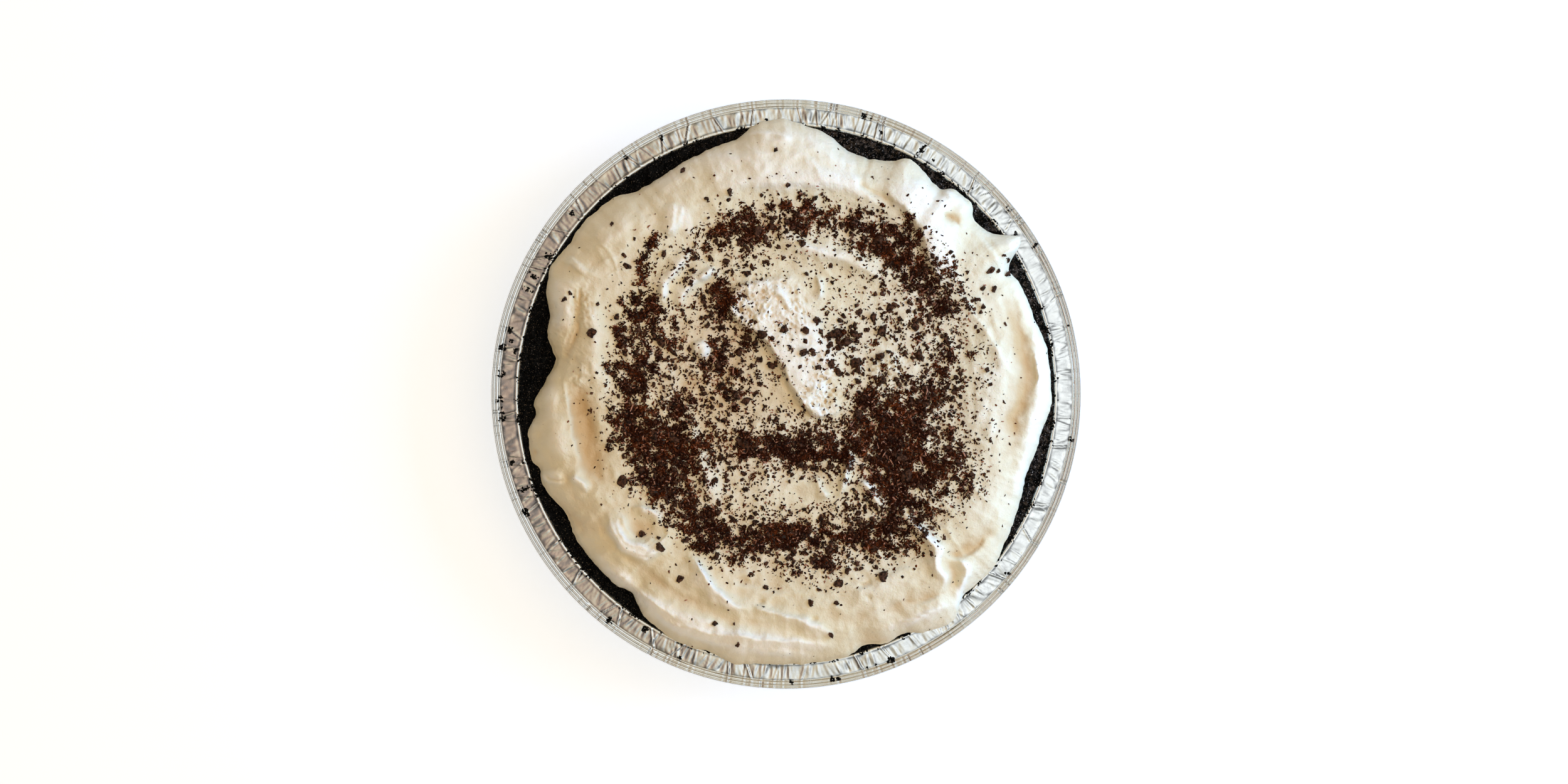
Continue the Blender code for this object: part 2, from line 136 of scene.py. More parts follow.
def makeLights():
    lamp = bpy.data.lights.new("window", "AREA")
    lamp.shape = "RECTANGLE"
    lamp.size, lamp.size_y = window["size"]
    lamp.energy = window["watts"]
    lamp.color = linear(window["colour"])[:3]
    holder = bpy.data.objects.new("window", lamp)
    holder.location = window["place"]
    holder.rotation_euler = Vector(window["place"]).to_track_quat("Z", "Y").to_euler()
    holder.visible_glossy = holder.visible_camera = False
    bpy.context.scene.collection.objects.link(holder)
    world = bpy.data.worlds.new("room")
    world.use_nodes = True
    tree = world.node_tree
    direction = addNode(tree, "ShaderNodeTexCoord").outputs["Generated"]
    compass = addNode(tree, "ShaderNodeSeparateXYZ", {0: direction})
    bow = times(tree, times(tree, compass.outputs[1], compass.outputs[1]), room["bow"])
    sideways = spread(tree, calculate(tree, "ADD", compass.outputs[0], bow), -1.0, 1.0)
    strength = spread(tree, compass.outputs[2], *room["heights"], *room["strengths"])
    ramp = addNode(tree, "ShaderNodeValToRGB", {"Fac": sideways})
    for at, tone in room["tones"][1:-1]:
        ramp.color_ramp.elements.new(at).color = linear(tone)
    for element, (at, tone) in zip(ramp.color_ramp.elements, room["tones"]):
        element.position, element.color = at, linear(tone)
    matt = addNode(tree, "ShaderNodeLightPath").outputs["Is Diffuse Ray"]
    soft = blend(tree, sideways, room["shadowSide"], room["lightSide"])
    setInputs(tree, tree.nodes["Background"], {
        "Color": blend(tree, matt, ramp.outputs["Color"], soft),
        "Strength": times(tree, strength, spread(tree, matt, 0.0, 1.0, 1.0, room["fill"])),
    })
    bpy.context.scene.world = world
    bpy.context.scene.view_settings.view_transform = "Standard"


def makeFloor(finish):
    mesh = bpy.data.meshes.new("floor")
    reach = paper["reach"]
    corners = ((-reach, -reach), (reach, -reach), (reach, reach), (-reach, reach))
    mesh.from_pydata([(x, y, -paper["depth"]) for x, y in corners], [], [(0, 1, 2, 3)])
    mesh.materials.append(finish)
    floor = bpy.data.objects.new("floor", mesh)
    bpy.context.scene.collection.objects.link(floor)


# Materials

def startMaterial(name):
    finish = bpy.data.materials.new(name)
    finish.use_nodes = True
    return finish, finish.node_tree, finish.node_tree.nodes["Principled BSDF"]


def blend(tree, amount, first, second):  # first where amount is 0, second where it is 1
    mix = addNode(tree, "ShaderNodeMix", {"Factor": amount}, data_type="RGBA")
    for socket, value in ((mix.inputs[6], first), (mix.inputs[7], second)):
        if isinstance(value, bpy.types.NodeSocket):
            tree.links.new(value, socket)
        else:
            socket.default_value = linear(value)
    return mix.outputs[2]


def spread(tree, value, low, high, least=0.0, most=1.0):  # value from low to high, as least to most
    inputs = {"Value": value, "From Min": low, "From Max": high, "To Min": least, "To Max": most}
    return addNode(tree, "ShaderNodeMapRange", inputs).outputs["Result"]


def noiseAt(tree, place, scale, detail=2.0, roughness=0.5):
    inputs = {"Vector": place, "Scale": scale, "Detail": detail, "Roughness": roughness}
    return addNode(tree, "ShaderNodeTexNoise", inputs).outputs["Fac"]


def speckle(tree, size, detail=2.0, roughness=0.5):  # noise whose features are this many millimetres
    place = addNode(tree, "ShaderNodeTexCoord").outputs["Object"]
    return noiseAt(tree, place, 1.0 / (size * mm), detail, roughness)


def attribute(tree, name):
    return addNode(tree, "ShaderNodeAttribute", attribute_name=name).outputs["Fac"]


def emboss(tree, shader, height, depth, strength=1.0):  # relief as deep as this many millimetres
    bump = addNode(tree, "ShaderNodeBump", {"Height": height, "Distance": depth * mm, "Strength": strength})
    tree.links.new(bump.outputs["Normal"], shader.inputs["Normal"])


def floorPaper():  # matt blue-white studio paper
    finish, tree, shader = startMaterial("studioPaper")
    setInputs(tree, shader, {
        "Base Color": blend(tree, speckle(tree, paper["patches"]), *paper["colours"]), "Roughness": 0.9,
        "Emission Color": linear(paper["table"]), "Emission Strength": paper["glow"],
    })
    return finish


def aluminiumFoil():  # cold-rolled aluminium foil, pressed in a die: bright, with soft mill haze and tiny dents
    finish, tree, shader = startMaterial("pressedAluminiumFoil")
    setInputs(tree, shader, {
        "Base Color": blend(tree, speckle(tree, 16.0), "#ebeae7", "#f4f4f2"), "Metallic": 1.0,
        "Roughness": spread(tree, speckle(tree, 3.0, 3.0), 0.3, 0.7, 0.2, 0.32),
    })
    emboss(tree, shader, speckle(tree, 1.8), 0.1, 0.5)
    return finish


def cookieCrumb():  # crushed black cocoa cookie held with butter: dull, near black, with whitish sugar specks; towards +X and +Y it is paler and has more specks, partly dustier crumbs and partly painted light and painted glints
    finish, tree, shader = startMaterial("blackCookieCrumb")
    dustAndPaintedLight = attribute(tree, "dustAndPaintedLight")
    # paler towards +X and +Y: partly dustier crumbs, partly painted light
    paleWithPaintedLight = blend(tree, dustAndPaintedLight, "#0c0a09", "#4c423b")
    ground = blend(tree, spread(tree, speckle(tree, 1.7, 4.0, 0.6), 0.48, 0.66), "#020202", paleWithPaintedLight)
    # more whitish specks on that side: painted glints
    glints = times(tree, spread(tree, speckle(tree, 0.5, 1.0), 0.64, 0.72), spread(tree, dustAndPaintedLight, 0.0, 1.0, 0.35, 0.9))
    setInputs(tree, shader, {
        "Base Color": blend(tree, glints, ground, "#a79c95"), "Specular IOR Level": 0.13,
        "Roughness": spread(tree, speckle(tree, 0.8), 0.3, 0.7, 0.4, 0.8),
    })
    emboss(tree, shader, speckle(tree, 0.6, 3.0, 0.6), 0.5, 0.9)
    return finish


def whippedCream():  # sweetened whipped cream: warm ivory foam that lets light a little way in, with tan painted shade in its hollows and whiter painted highlights on its crests and drops
    finish, tree, shader = startMaterial("whippedCream")
    crests = blend(tree, spread(tree, speckle(tree, 34.0), 0.35, 0.65), "#f0e8d0", "#ebe1c3")
    # painted highlight: crests and drops turn whiter
    withPaintedHighlights = blend(tree, attribute(tree, "paintedHighlight"), crests, "#fdf8ea")
    # painted shade: hollows and torn gaps turn tan
    foam = blend(tree, attribute(tree, "paintedShade"), withPaintedHighlights, "#d6b98d")
    dusted = blend(tree, spread(tree, attribute(tree, "sprinkled"), 0.15, 1.0, 0.0, 0.25), foam, "#c99f86")
    heaped = spread(tree, attribute(tree, "grated"), 0.85, 1.0)
    setInputs(tree, shader, {
        "Base Color": blend(tree, heaped, dusted, "#2a1208"), "Roughness": 0.46,
        "Subsurface Weight": 0.2, "Subsurface Radius": (1.0, 0.72, 0.45), "Subsurface Scale": 1.4 * mm,
    })
    pores = times(tree, speckle(tree, 1.3, 3.0, 0.6), spread(tree, attribute(tree, "torn"), 0.0, 1.0, 0.6, 1.0))
    emboss(tree, shader, pores, 0.6, 0.8)
    return finish


def darkChocolate():  # snapped dark chocolate: near black, satin where cut, dull where broken
    finish, tree, shader = startMaterial("snappedDarkChocolate")
    broken = spread(tree, speckle(tree, 1.0, 3.0), 0.38, 0.68)
    setInputs(tree, shader, {
        "Base Color": blend(tree, broken, "#1a0b05", "#684330"), "Specular IOR Level": 0.22,
        "Roughness": spread(tree, speckle(tree, 1.8), 0.3, 0.7, 0.35, 0.7),
    })
    emboss(tree, shader, speckle(tree, 0.8, 3.0, 0.65), 0.8, 1.0)
    return finish


def gratedChocolate():  # grated dark chocolate: thin shreds, redder in patches, with a random share of shreds painted paler as highlights
    finish, tree, shader = startMaterial("gratedDarkChocolate")
    shade = attribute(tree, "shade")
    patchy = times(tree, times(tree, shade, shade), spread(tree, speckle(tree, 8.0), 0.42, 0.66, 0.15, 1.0))
    dark = blend(tree, patchy, "#260d06", "#8a4520")
    # painted highlights: the shreds with the highest random shade value turn paler
    paintedShredHighlights = blend(tree, spread(tree, shade, 0.86, 1.0), dark, "#b98871")
    setInputs(tree, shader, {"Base Color": paintedShredHighlights, "Roughness": 0.55, "Specular IOR Level": 0.1})
    return finish


# Mesh helpers

def addPiece(name, mesh, finish, slot, *nodes):
    if not mesh.materials:
        mesh.materials.append(finish)
    piece = bpy.data.objects.new(name, mesh)
    bpy.context.scene.collection.objects.link(piece)
    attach(piece, "root")
    if nodes:
        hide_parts(*nodes)
    triangles = sum(len(face.vertices) - 2 for face in piece.data.polygons)
    print(f"{piece.name}: {triangles} triangles")
    return piece


def meshFrom(points, faces, name="shape"):
    mesh = bpy.data.meshes.new(name)
    mesh.from_pydata(np.asarray(points).tolist(), [], faces)
    mesh.shade_smooth()
    return mesh


def ringPoints(radii, heights):  # one point for each radius, evenly round the axis; takes millimetres
    angles = math.tau * np.arange(len(radii)) / len(radii)
    return np.stack([radii * np.cos(angles), radii * np.sin(angles), heights], 1) * mm


def bandFaces(lower, upper, count):  # between two rings of count points, which start at these indices
    return [(lower + a, lower + (a + 1) % count, upper + (a + 1) % count, upper + a) for a in range(count)]


def grain(x, y, size, seed=0.0):  # smooth noise from about -1 to 1 with lumps of this size
    spots = zip(x.ravel() / size, y.ravel() / size)
    return np.array([noise.noise((a, b, seed)) for a, b in spots]).reshape(x.shape)


def smoothStep(value, low, high):
    share = np.clip((value - low) / (high - low), 0.0, 1.0)
    return share * share * (3.0 - 2.0 * share)


def setAttribute(mesh, name, values):
    mesh.attributes.new(name, "FLOAT", "POINT").data.foreach_set("value", np.asarray(values, np.float32))


def vertexPlaces(mesh):  # a row for each vertex, in millimetres
    points = np.empty(len(mesh.vertices) * 3)
    mesh.vertices.foreach_get("co", points)
    return points.reshape(-1, 3) / mm


# Geometry Nodes

def startTree(name, sockets):  # sockets: the name and the type of each input
    tree = bpy.data.node_groups.new(name, "GeometryNodeTree")
    for label, kind in sockets.items():
        tree.interface.new_socket(name=label, in_out="INPUT", socket_type="NodeSocket" + kind)
    tree.interface.new_socket(name="Result", in_out="OUTPUT", socket_type="NodeSocketGeometry")
    return tree, addNode(tree, "NodeGroupInput").outputs


def runTree(piece, tree, values):  # the tree's result on the piece, as a plain mesh
    modifier = piece.modifiers.new(tree.name, "NODES")
    modifier.node_group = tree
    for socket in tree.interface.items_tree:
        if socket.name in values:
            modifier[socket.identifier] = values[socket.name]
    evaluated = piece.evaluated_get(bpy.context.evaluated_depsgraph_get())
    mesh = bpy.data.meshes.new_from_object(evaluated)
    piece.modifiers.remove(modifier)
    return mesh


def randomFloat(tree, least, most, seed):
    inputs = {2: least, 3: most, "Seed": seed}
    return addNode(tree, "FunctionNodeRandomValue", inputs, data_type="FLOAT").outputs[1]


def scatterTree():  # shapes over a surface, as thickly as its mask says
    tree, given = startTree("scatterOver", {
        "Surface": "Geometry", "Shapes": "Collection", "Where": "String", "Evenness": "Float",
        "Most": "Float", "Seed": "Int", "Smallest": "Float", "Largest": "Float",
        "Tilt": "Float", "Lift": "Float", "Pile": "Float", "Finish": "Material",
    })
    mask = addNode(tree, "GeometryNodeInputNamedAttribute", {"Name": given["Where"]}, data_type="FLOAT")
    cover = mask.outputs[0]
    density = times(tree, calculate(tree, "POWER", cover, given["Evenness"]), given["Most"])
    points = addNode(tree, "GeometryNodeDistributePointsOnFaces",
                     {"Mesh": given["Surface"], "Density": density, "Seed": given["Seed"]})
    lowest = times(tree, given["Tilt"], -1.0)
    low, high = combined(tree, lowest, lowest), combined(tree, given["Tilt"], given["Tilt"], math.tau)
    turned = addNode(tree, "FunctionNodeRandomValue", {0: low, 1: high, "Seed": 3}, data_type="FLOAT_VECTOR")
    lean = addNode(tree, "FunctionNodeEulerToRotation", {0: turned.outputs[0]})
    facing = addNode(tree, "FunctionNodeRotateRotation",
                     {0: points.outputs["Rotation"], 1: lean.outputs[0]}, rotation_space="LOCAL")
    size = randomFloat(tree, given["Smallest"], given["Largest"], 5)
    shade = randomFloat(tree, 0.0, 1.0, 7)
    piled = times(tree, randomFloat(tree, 0.0, given["Pile"], 9), calculate(tree, "POWER", cover, 2.0))
    rise = calculate(tree, "ADD", piled, given["Lift"])
    raised = addNode(tree, "GeometryNodeSetPosition",
                     {"Geometry": points.outputs["Points"], "Offset": combined(tree, z=rise)})
    shaded = addNode(tree, "GeometryNodeStoreNamedAttribute",
                     {"Geometry": raised.outputs[0], "Name": "shade", "Value": shade}, data_type="FLOAT")
    shapes = addNode(tree, "GeometryNodeCollectionInfo",
                     {"Collection": given["Shapes"], "Separate Children": True, "Reset Children": True})
    placed = addNode(tree, "GeometryNodeInstanceOnPoints", {
        "Points": shaded.outputs[0], "Instance": shapes.outputs[0], "Pick Instance": True,
        "Rotation": facing.outputs[0], "Scale": size,
    })
    real = addNode(tree, "GeometryNodeRealizeInstances", {"Geometry": placed.outputs[0]})
    painted = addNode(tree, "GeometryNodeSetMaterial", {"Geometry": real.outputs[0], "Material": given["Finish"]})
    addNode(tree, "NodeGroupOutput", {0: painted.outputs[0]})
    return tree


# Foil pan

pan = {
    "steps": 1580, "foil": 0.22, "baseRadius": 79.0, "footRadius": 80.9, "footHeight": 1.4, "wallRun": 22.0,
    "wallRise": 27.0, "flutes": 72, "fluteDepth": 0.3, "fluteFoot": (2, 9), "fluteTop": (27.5, 21),
    "wrinkleWidth": 1.7, "wrinkleHeight": 0.45, "wrinkleRadius": 107, "wrinkleInside": (104.6, 106.2),
    "wrinkleOutside": (110.6, 109.4), "flangeFrom": 103.4, "creaseReach": 0.34, "creaseHeight": 0.55,
    "pleats": 130, "pleatSeed": 12, "pleatLean": 0.5, "pleatHeights": (0.1, 0.5), "wander": 0.12,
    "notchDepth": 3.0, "crushedAt": 245.0, "crushedSpan": 2.2, "crushDepth": 0.5, "ceiling": 30.6,
}

creases = (  # where a sharp crease crosses the flange, how far it leans outwards in degrees, how high it is
    (7, 0.3, 0.5), (48, 0.8, 1), (61, -0.9, 0.8), (69.5, 0.6, 0.9), (71, 0.2, 0.7), (83.5, 0.4, 0.6), (97, -0.5, 1),
    (104, 0.8, 0.8), (111, -1.2, 1), (116.5, -0.8, 0.7), (123, 0.8, 1), (131, 0.5, 0.6), (138, -0.9, 1),
    (144, 0.9, 0.7), (150.5, 1.5, 0.9), (153, 0.6, 1), (160, 0.4, 0.5), (167.5, -1.1, 0.9), (170.5, 0.8, 0.8),
    (184, 0.5, 0.8), (194, -0.7, 1), (204, 0.6, 0.8), (213, 0.5, 0.5), (221, 0.8, 0.9), (230.5, -0.8, 1),
    (233, 0.9, 0.8), (241, 1.5, 0.7), (247, -1.4, 0.9), (258, 0.4, 1), (262, 1.0, 0.7), (268, -0.5, 0.7),
    (285, 0.6, 1), (291, 0.8, 0.9), (305, -0.6, 0.6), (319, 0.8, 1), (330, -1.2, 1), (336, 0.9, 0.8), (349, 0.4, 0.9),
    (354, -0.5, 0.5),
)


def panProfile():  # (radius, height) from the middle of the inside, out over the rim and back under
    foil, run, rise = pan["foil"], pan["wallRun"], pan["wallRise"]
    foot = (pan["footRadius"] - 0.15, pan["footHeight"] + foil)
    inside = [(0, foil), (60, foil), (pan["baseRadius"] - 0.2, foil), foot]
    wall = [(foot[0] + t * (run - 0.1), foot[1] + t * rise) for t in (0.25, 0.5, 0.75, 0.9, 1.0)]
    bead = [(103.3, 29.3), (103.7, 29.75), (104.1, 29.98), (104.5, 29.98), (104.85, 29.8), (105.2, 29.6)]
    band = [(105.2 + 5.1 * t, 29.6 - 1.35 * t) for t in np.arange(1, 13) / 12]
    hem = [(110.5, 28.15), (110.66, 28.1), (110.88, 27.84), (111.1, 28.1), (111.22, 28.22), (111.86, 28.62),
           (111.98, 28.6), (112.18, 28.3), (112.38, 28.5), (112.5, 28.62), (113.0, 28.94), (113.12, 28.92),
           (113.3, 28.64), (113.46, 28.84), (113.6, 28.96), (113.76, 28.94), (113.95, 28.74), (114.15, 28.4),
           (114.27, 28.0)]
    under = [(114.1, 27.8), (113.4, 27.65), (112.2, 27.65), (110.6, 27.65), (107.6, 28.7), (105.2, 29.32),
             (104.3, 29.5), (103.6, 29.1)]
    outside = [(pan["footRadius"] + t * run, pan["footHeight"] + t * rise) for t in (1.0, 0.9, 0.75, 0.5, 0.25, 0.0)]
    return [*inside, *wall, *bead, *band, *hem, *under, *outside, (pan["baseRadius"], 0), (60, 0), (0, 0)]


def sweepTree():  # the profile round the axis, with wrinkles in the flange and flutes in the wall
    tree, given = startTree("sweepFoil", {
        "Profile": "Geometry", "Steps": "Int", "Wrinkle Width": "Float", "Wrinkle Height": "Float",
        "Flutes": "Float", "Flute Depth": "Float", "Finish": "Material",
    })

    def fade(value, ends):  # 0 at the first, 1 at the second
        return spread(tree, value, ends[0] * mm, ends[1] * mm)

    circle = addNode(tree, "GeometryNodeCurvePrimitiveCircle", {"Resolution": given["Steps"], "Radius": mm})
    swept = addNode(tree, "GeometryNodeCurveToMesh", {0: circle.outputs[0], 1: given["Profile"]})
    closed = addNode(tree, "GeometryNodeMergeByDistance", {"Geometry": swept.outputs[0], "Distance": 1e-6})
    place = addNode(tree, "GeometryNodeInputPosition").outputs[0]
    flat = vectorMath(tree, "MULTIPLY", place, (1, 1, 0))
    outwards = vectorMath(tree, "NORMALIZE", flat)
    radius = addNode(tree, "ShaderNodeVectorMath", {0: flat}, operation="LENGTH").outputs["Value"]
    height = addNode(tree, "ShaderNodeSeparateXYZ", {0: place}).outputs[2]

    # Wrinkles run along the radius, bunched in places, on the flange between the bead and the rolled rim.
    turns = calculate(tree, "DIVIDE", pan["wrinkleRadius"] * mm, given["Wrinkle Width"])
    lean = spread(tree, noiseAt(tree, outwards, 9.0, 0.0), 0.3, 0.7, -1.0, 1.0)
    shift = times(tree, spread(tree, radius, 103 * mm, 111 * mm, -0.8, 0.8), lean)
    sidelong = vectorMath(tree, "CROSS_PRODUCT", outwards, (0, 0, 1))
    turned = vectorMath(tree, "ADD", scaled(tree, outwards, turns), scaled(tree, sidelong, shift))
    spot = vectorMath(tree, "ADD", turned, combined(tree, z=times(tree, radius, 90.0)))
    fold = spread(tree, noiseAt(tree, spot, 1.0), 0.25, 0.75, -1.0, 1.0)
    amount = times(tree, spread(tree, noiseAt(tree, outwards, 5.0, 1.0), 0.35, 0.6, 0.6, 1.0), fold)
    band = times(tree, fade(radius, pan["wrinkleInside"]), fade(radius, pan["wrinkleOutside"]))
    wrinkle = times(tree, times(tree, amount, band), given["Wrinkle Height"])

    # Flutes stand round the sloping wall and fade out at its foot and its top.
    compass = addNode(tree, "ShaderNodeSeparateXYZ", {0: outwards}).outputs
    angle = calculate(tree, "ARCTAN2", compass[1], compass[0])
    wave = calculate(tree, "SINE", times(tree, angle, given["Flutes"]))
    wall = times(tree, fade(height, pan["fluteFoot"]), fade(height, pan["fluteTop"]))
    flute = times(tree, times(tree, spread(tree, wave, -1.0, 1.0, -1.0, 0.0), wall), given["Flute Depth"])

    offset = vectorMath(tree, "ADD", combined(tree, z=wrinkle), scaled(tree, outwards, flute))
    moved = addNode(tree, "GeometryNodeSetPosition", {"Geometry": closed.outputs[0], "Offset": offset})
    smooth = addNode(tree, "GeometryNodeSetShadeSmooth", {"Geometry": moved.outputs[0]})
    painted = addNode(tree, "GeometryNodeSetMaterial", {"Geometry": smooth.outputs[0], "Material": given["Finish"]})
    addNode(tree, "NodeGroupOutput", {0: painted.outputs[0]})
    return tree


def pressCreases(mesh):  # sharp creases over the flange, notches in the rolled rim, and the crushed spot
    points = vertexPlaces(mesh)
    radius = np.hypot(points[:, 0], points[:, 1])
    degrees = np.degrees(np.arctan2(points[:, 1], points[:, 0])) % 360.0
    across = np.clip((radius - pan["wrinkleRadius"]) / 4.0, -1.0, 1.0)
    envelope = smoothStep(radius, 103.6, 105.2) * (1.0 - 0.45 * smoothStep(radius, 110.2, 111.2))
    rise = np.zeros(len(points))
    draw = random.Random(pan["pleatSeed"])
    pleats = [(draw.uniform(0, 360), draw.gauss(0, pan["pleatLean"]), draw.uniform(*pan["pleatHeights"]))
              for number in range(pan["pleats"])]
    for at, lean, height in (*creases, *pleats):
        gap = ((degrees - at - lean * across + 180.0) % 360.0 - 180.0) * radius * math.pi / 180.0
        near = gap / pan["creaseReach"]
        rise += height * pan["creaseHeight"] * (np.exp(-near**2) - 0.55 * np.exp(-((near - 1.9) ** 2)))
    rim = smoothStep(radius, 110.8, 111.6)
    x, y = np.cos(np.radians(degrees)), np.sin(np.radians(degrees))
    notches = np.clip(grain(x, y, 0.011, 4.0) - 0.25, 0.0, 1.0) * np.clip(grain(x, y, 0.12, 6.0) + 0.25, 0.0, 1.0)
    wander = pan["wander"] * grain(x, y, 0.05, 8.0)
    crushed = np.exp(-(((degrees - pan["crushedAt"]) / pan["crushedSpan"]) ** 2)) * smoothStep(radius, 109.0, 112.0)
    dented = rise * envelope - rim * pan["notchDepth"] * notches - pan["crushDepth"] * crushed
    dented = dented + wander * smoothStep(radius, 104.6, 106.0)
    points[:, 2] += np.where(radius > pan["flangeFrom"], dented, 0.0)
    points[:, 2] = np.minimum(points[:, 2], pan["ceiling"])
    mesh.vertices.foreach_set("co", (points * mm).ravel())
    mesh.update()


def makePan(finish):
    line = bpy.data.curves.new("panProfile", "CURVE")
    spline = line.splines.new("POLY")
    profile = panProfile()
    spline.points.add(len(profile) - 1)
    for point, (radius, height) in zip(spline.points, profile):
        point.co = ((radius - 1.0) * mm, -height * mm, 0.0, 1.0)
    guide = bpy.data.objects.new("panProfile", line)
    bpy.context.scene.collection.objects.link(guide)
    mesh = runTree(guide, sweepTree(), {
        "Steps": pan["steps"], "Wrinkle Width": pan["wrinkleWidth"] * mm,
        "Wrinkle Height": pan["wrinkleHeight"] * mm, "Flutes": float(pan["flutes"]),
        "Flute Depth": pan["fluteDepth"] * mm, "Finish": finish,
    })
    bpy.data.objects.remove(guide)
    pressCreases(mesh)
    return addPiece("foilPan", mesh, finish, "foil", "foil_pan")


# Crumb crust

crust = {
    "steps": 1320, "rings": 40, "inner": 85.0, "outer": 103.1, "ceiling": 30.0, "lumpHeight": 1.0,
    "relief": 0.8, "pressed": ((5.5, 0.6), (2.6, 0.55)), "fineRelief": 1.3, "fineSize": 1.6,
    "clodRelief": 1.3, "clodSize": 3.0, "sink": 0.6, "gritRelief": 0.3, "gritSize": 0.7,
    "raggedReach": 1.3, "raggedSize": 2.6, "raggedFrom": 99, "crumbedFrom": 87.0,
}

crustLumps = (  # degrees round and half width of each lump that stands up against the foil
    (23, 7), (47, 4), (74.5, 3), (96, 4), (120, 3), (150, 4), (193, 8), (241, 5), (331, 4),
)

crown = (  # radius, height and share of the relief, from the filling out to the foil
    (85.0, 27.8, 0.0), (89.0, 28.0, 0.6), (92.0, 28.3, 1.0), (94.4, 28.9, 1.0), (96.8, 29.3, 1.0),
    (99.0, 29.4, 0.9), (101.0, 29.3, 0.8), (102.3, 29.2, 0.6), (103.1, 29.25, 0.3),
)


def lumpHeight(degrees):
    away = [np.exp(-(((degrees - at) / span) ** 2)) for at, span in crustLumps]
    return crust["lumpHeight"] * sum(away)


def crumbNoise(x, y, z, size):
    return np.array([noise.noise((a / size + 7, b / size + 3, z / size + 1)) for a, b in zip(x, y)])


def makeCrust(finish):
    steps = crust["steps"]
    angles = math.tau * np.arange(steps) / steps
    radii, heights, shares = (np.array(part) for part in zip(*crown))
    points, starts, visible = [], [], []

    def addRing(ringRadii, ringHeights, shown):
        starts.append(sum(len(p) for p in points))
        points.append(ringPoints(ringRadii, ringHeights))
        visible.append(np.full(steps, shown))

    for radius, height in ((78.4, 0.8), (90.2, 13.9), (101.4, 27.6), (102.2, 28.45)):
        addRing(np.full(steps, radius), np.full(steps, height), 0.0)
    for radius in np.linspace(crust["outer"], crust["inner"], crust["rings"]):
        share = np.interp(radius, radii, shares)
        x, y = radius * np.cos(angles), radius * np.sin(angles)
        height = np.interp(radius, radii, heights)
        pressed = sum(amount * crumbNoise(x, y, height, size) for size, amount in crust["pressed"])
        rough = crust["relief"] * pressed + lumpHeight(np.degrees(angles))
        rough += crust["fineRelief"] * (np.abs(grain(x, y, crust["fineSize"], 2.0)) - 0.2)
        clods = crust["clodRelief"] * smoothStep(grain(x, y, crust["clodSize"], 6.0), -0.1, 0.35)
        rough += clods - crust["sink"] + crust["gritRelief"] * grain(x, y, crust["gritSize"], 5.0)
        lifted = np.minimum(height + share * rough, crust["ceiling"])
        uneven = share * crust["raggedReach"] * grain(x, y, crust["raggedSize"], 9.0)
        addRing(radius + uneven * (radius > crust["raggedFrom"]), lifted, float(radius > crust["crumbedFrom"]))
    faces = [tuple(reversed(range(steps)))]
    for lower, upper in zip(starts, starts[1:]):
        faces += bandFaces(lower, upper, steps)
    faces.append(tuple(range(starts[-1], starts[-1] + steps)))
    mesh = meshFrom(np.concatenate(points), faces)
    setAttribute(mesh, "crumbed", np.concatenate(visible))
    x, y = (np.concatenate(points).T / mm)[:2]
    # paler towards +X and +Y: partly dustier crumbs, partly painted light
    setAttribute(mesh, "dustAndPaintedLight", smoothStep(x + 0.6 * y + 9.0 * grain(x, y, 12.0, 3.0), 10.0, 90.0))
    return addPiece("crumbCrust", mesh, finish, "cookie_crumb", "crumb_crust")


# Whipped topping

topping = {
    "rings": 172, "underside": 30.3, "lip": 2.4, "lipRings": ((0.28, 0.528), (0.34, 0.34), (0.1, 0.1)),
    "fillingRadius": 85.0, "fillingTop": 28.1, "depth": 9.5, "shoulder": 20.0, "shoulderPower": 2.4,
    "lowest": -0.6, "roundEdge": 1.5, "roundDepth": 0.9, "edgeFade": 6.0, "edgeShare": 0.3,
    "edgeBlur": (-0.8, -0.4, 0.0, 0.4, 0.8), "edgeWander": ((0.4, 0.04, 31.0), (0.3, 0.018, 32.0)),
    "basinRadius": 76.0, "basinDepth": 1.4, "basinEase": 4.0, "rippleLength": 14.0, "rippleHeight": 0.6,
    "strokeSteps": 7, "strokeFade": 0.3, "fineStrokeGain": 1.5, "pulls": ((0.9, 6.5, 17.0), (0.3, 2.2, 19.0)),
    "tornLift": 0.6, "flapHeight": 1.8, "flapSize": 3.4, "gashDepth": 2.9, "gashSize": 1.8, "dropSharpness": 3.0,
    "foldDepth": 1.1, "foldSize": 9.0, "poreHeight": 0.36, "poreSize": 3.2, "combHeight": 0.32,
}

toppingEdge = (  # degrees round, and how far out the topping reaches there
    (0, 102.2), (10, 101.8), (17, 99.8), (25, 99.5), (29.5, 97.6), (33.5, 109), (38.5, 99.5), (43, 98.2),
    (45.5, 102.6), (51, 102), (53, 98.3), (62.5, 102.4), (66, 98), (70, 96), (75, 96), (83, 102.4), (91, 106),
    (96, 105), (101, 99.7), (110, 98.3), (121, 96.2), (126, 96.6), (132, 101), (141, 102.2), (146, 101.6),
    (152, 103.2), (156, 101), (162, 95.5), (166, 95), (171.5, 89.3), (177, 92.5), (182, 97.4), (185, 96.5),
    (188, 100.5), (194.5, 101.2), (197, 98.8), (199.5, 100.4), (203, 99), (208, 96.3), (216, 98.3), (228, 98.6),
    (232, 96.6), (238, 102), (247, 104.3), (254, 103.4), (259, 106), (264, 104.2), (275, 104), (283, 104), (287, 101),
    (292, 103.4), (296, 102.5), (301, 106.6), (306, 108.8), (311.5, 103), (320, 104), (327, 101.3), (334, 99.5),
    (341, 97.3), (351, 99), (357, 102),
)

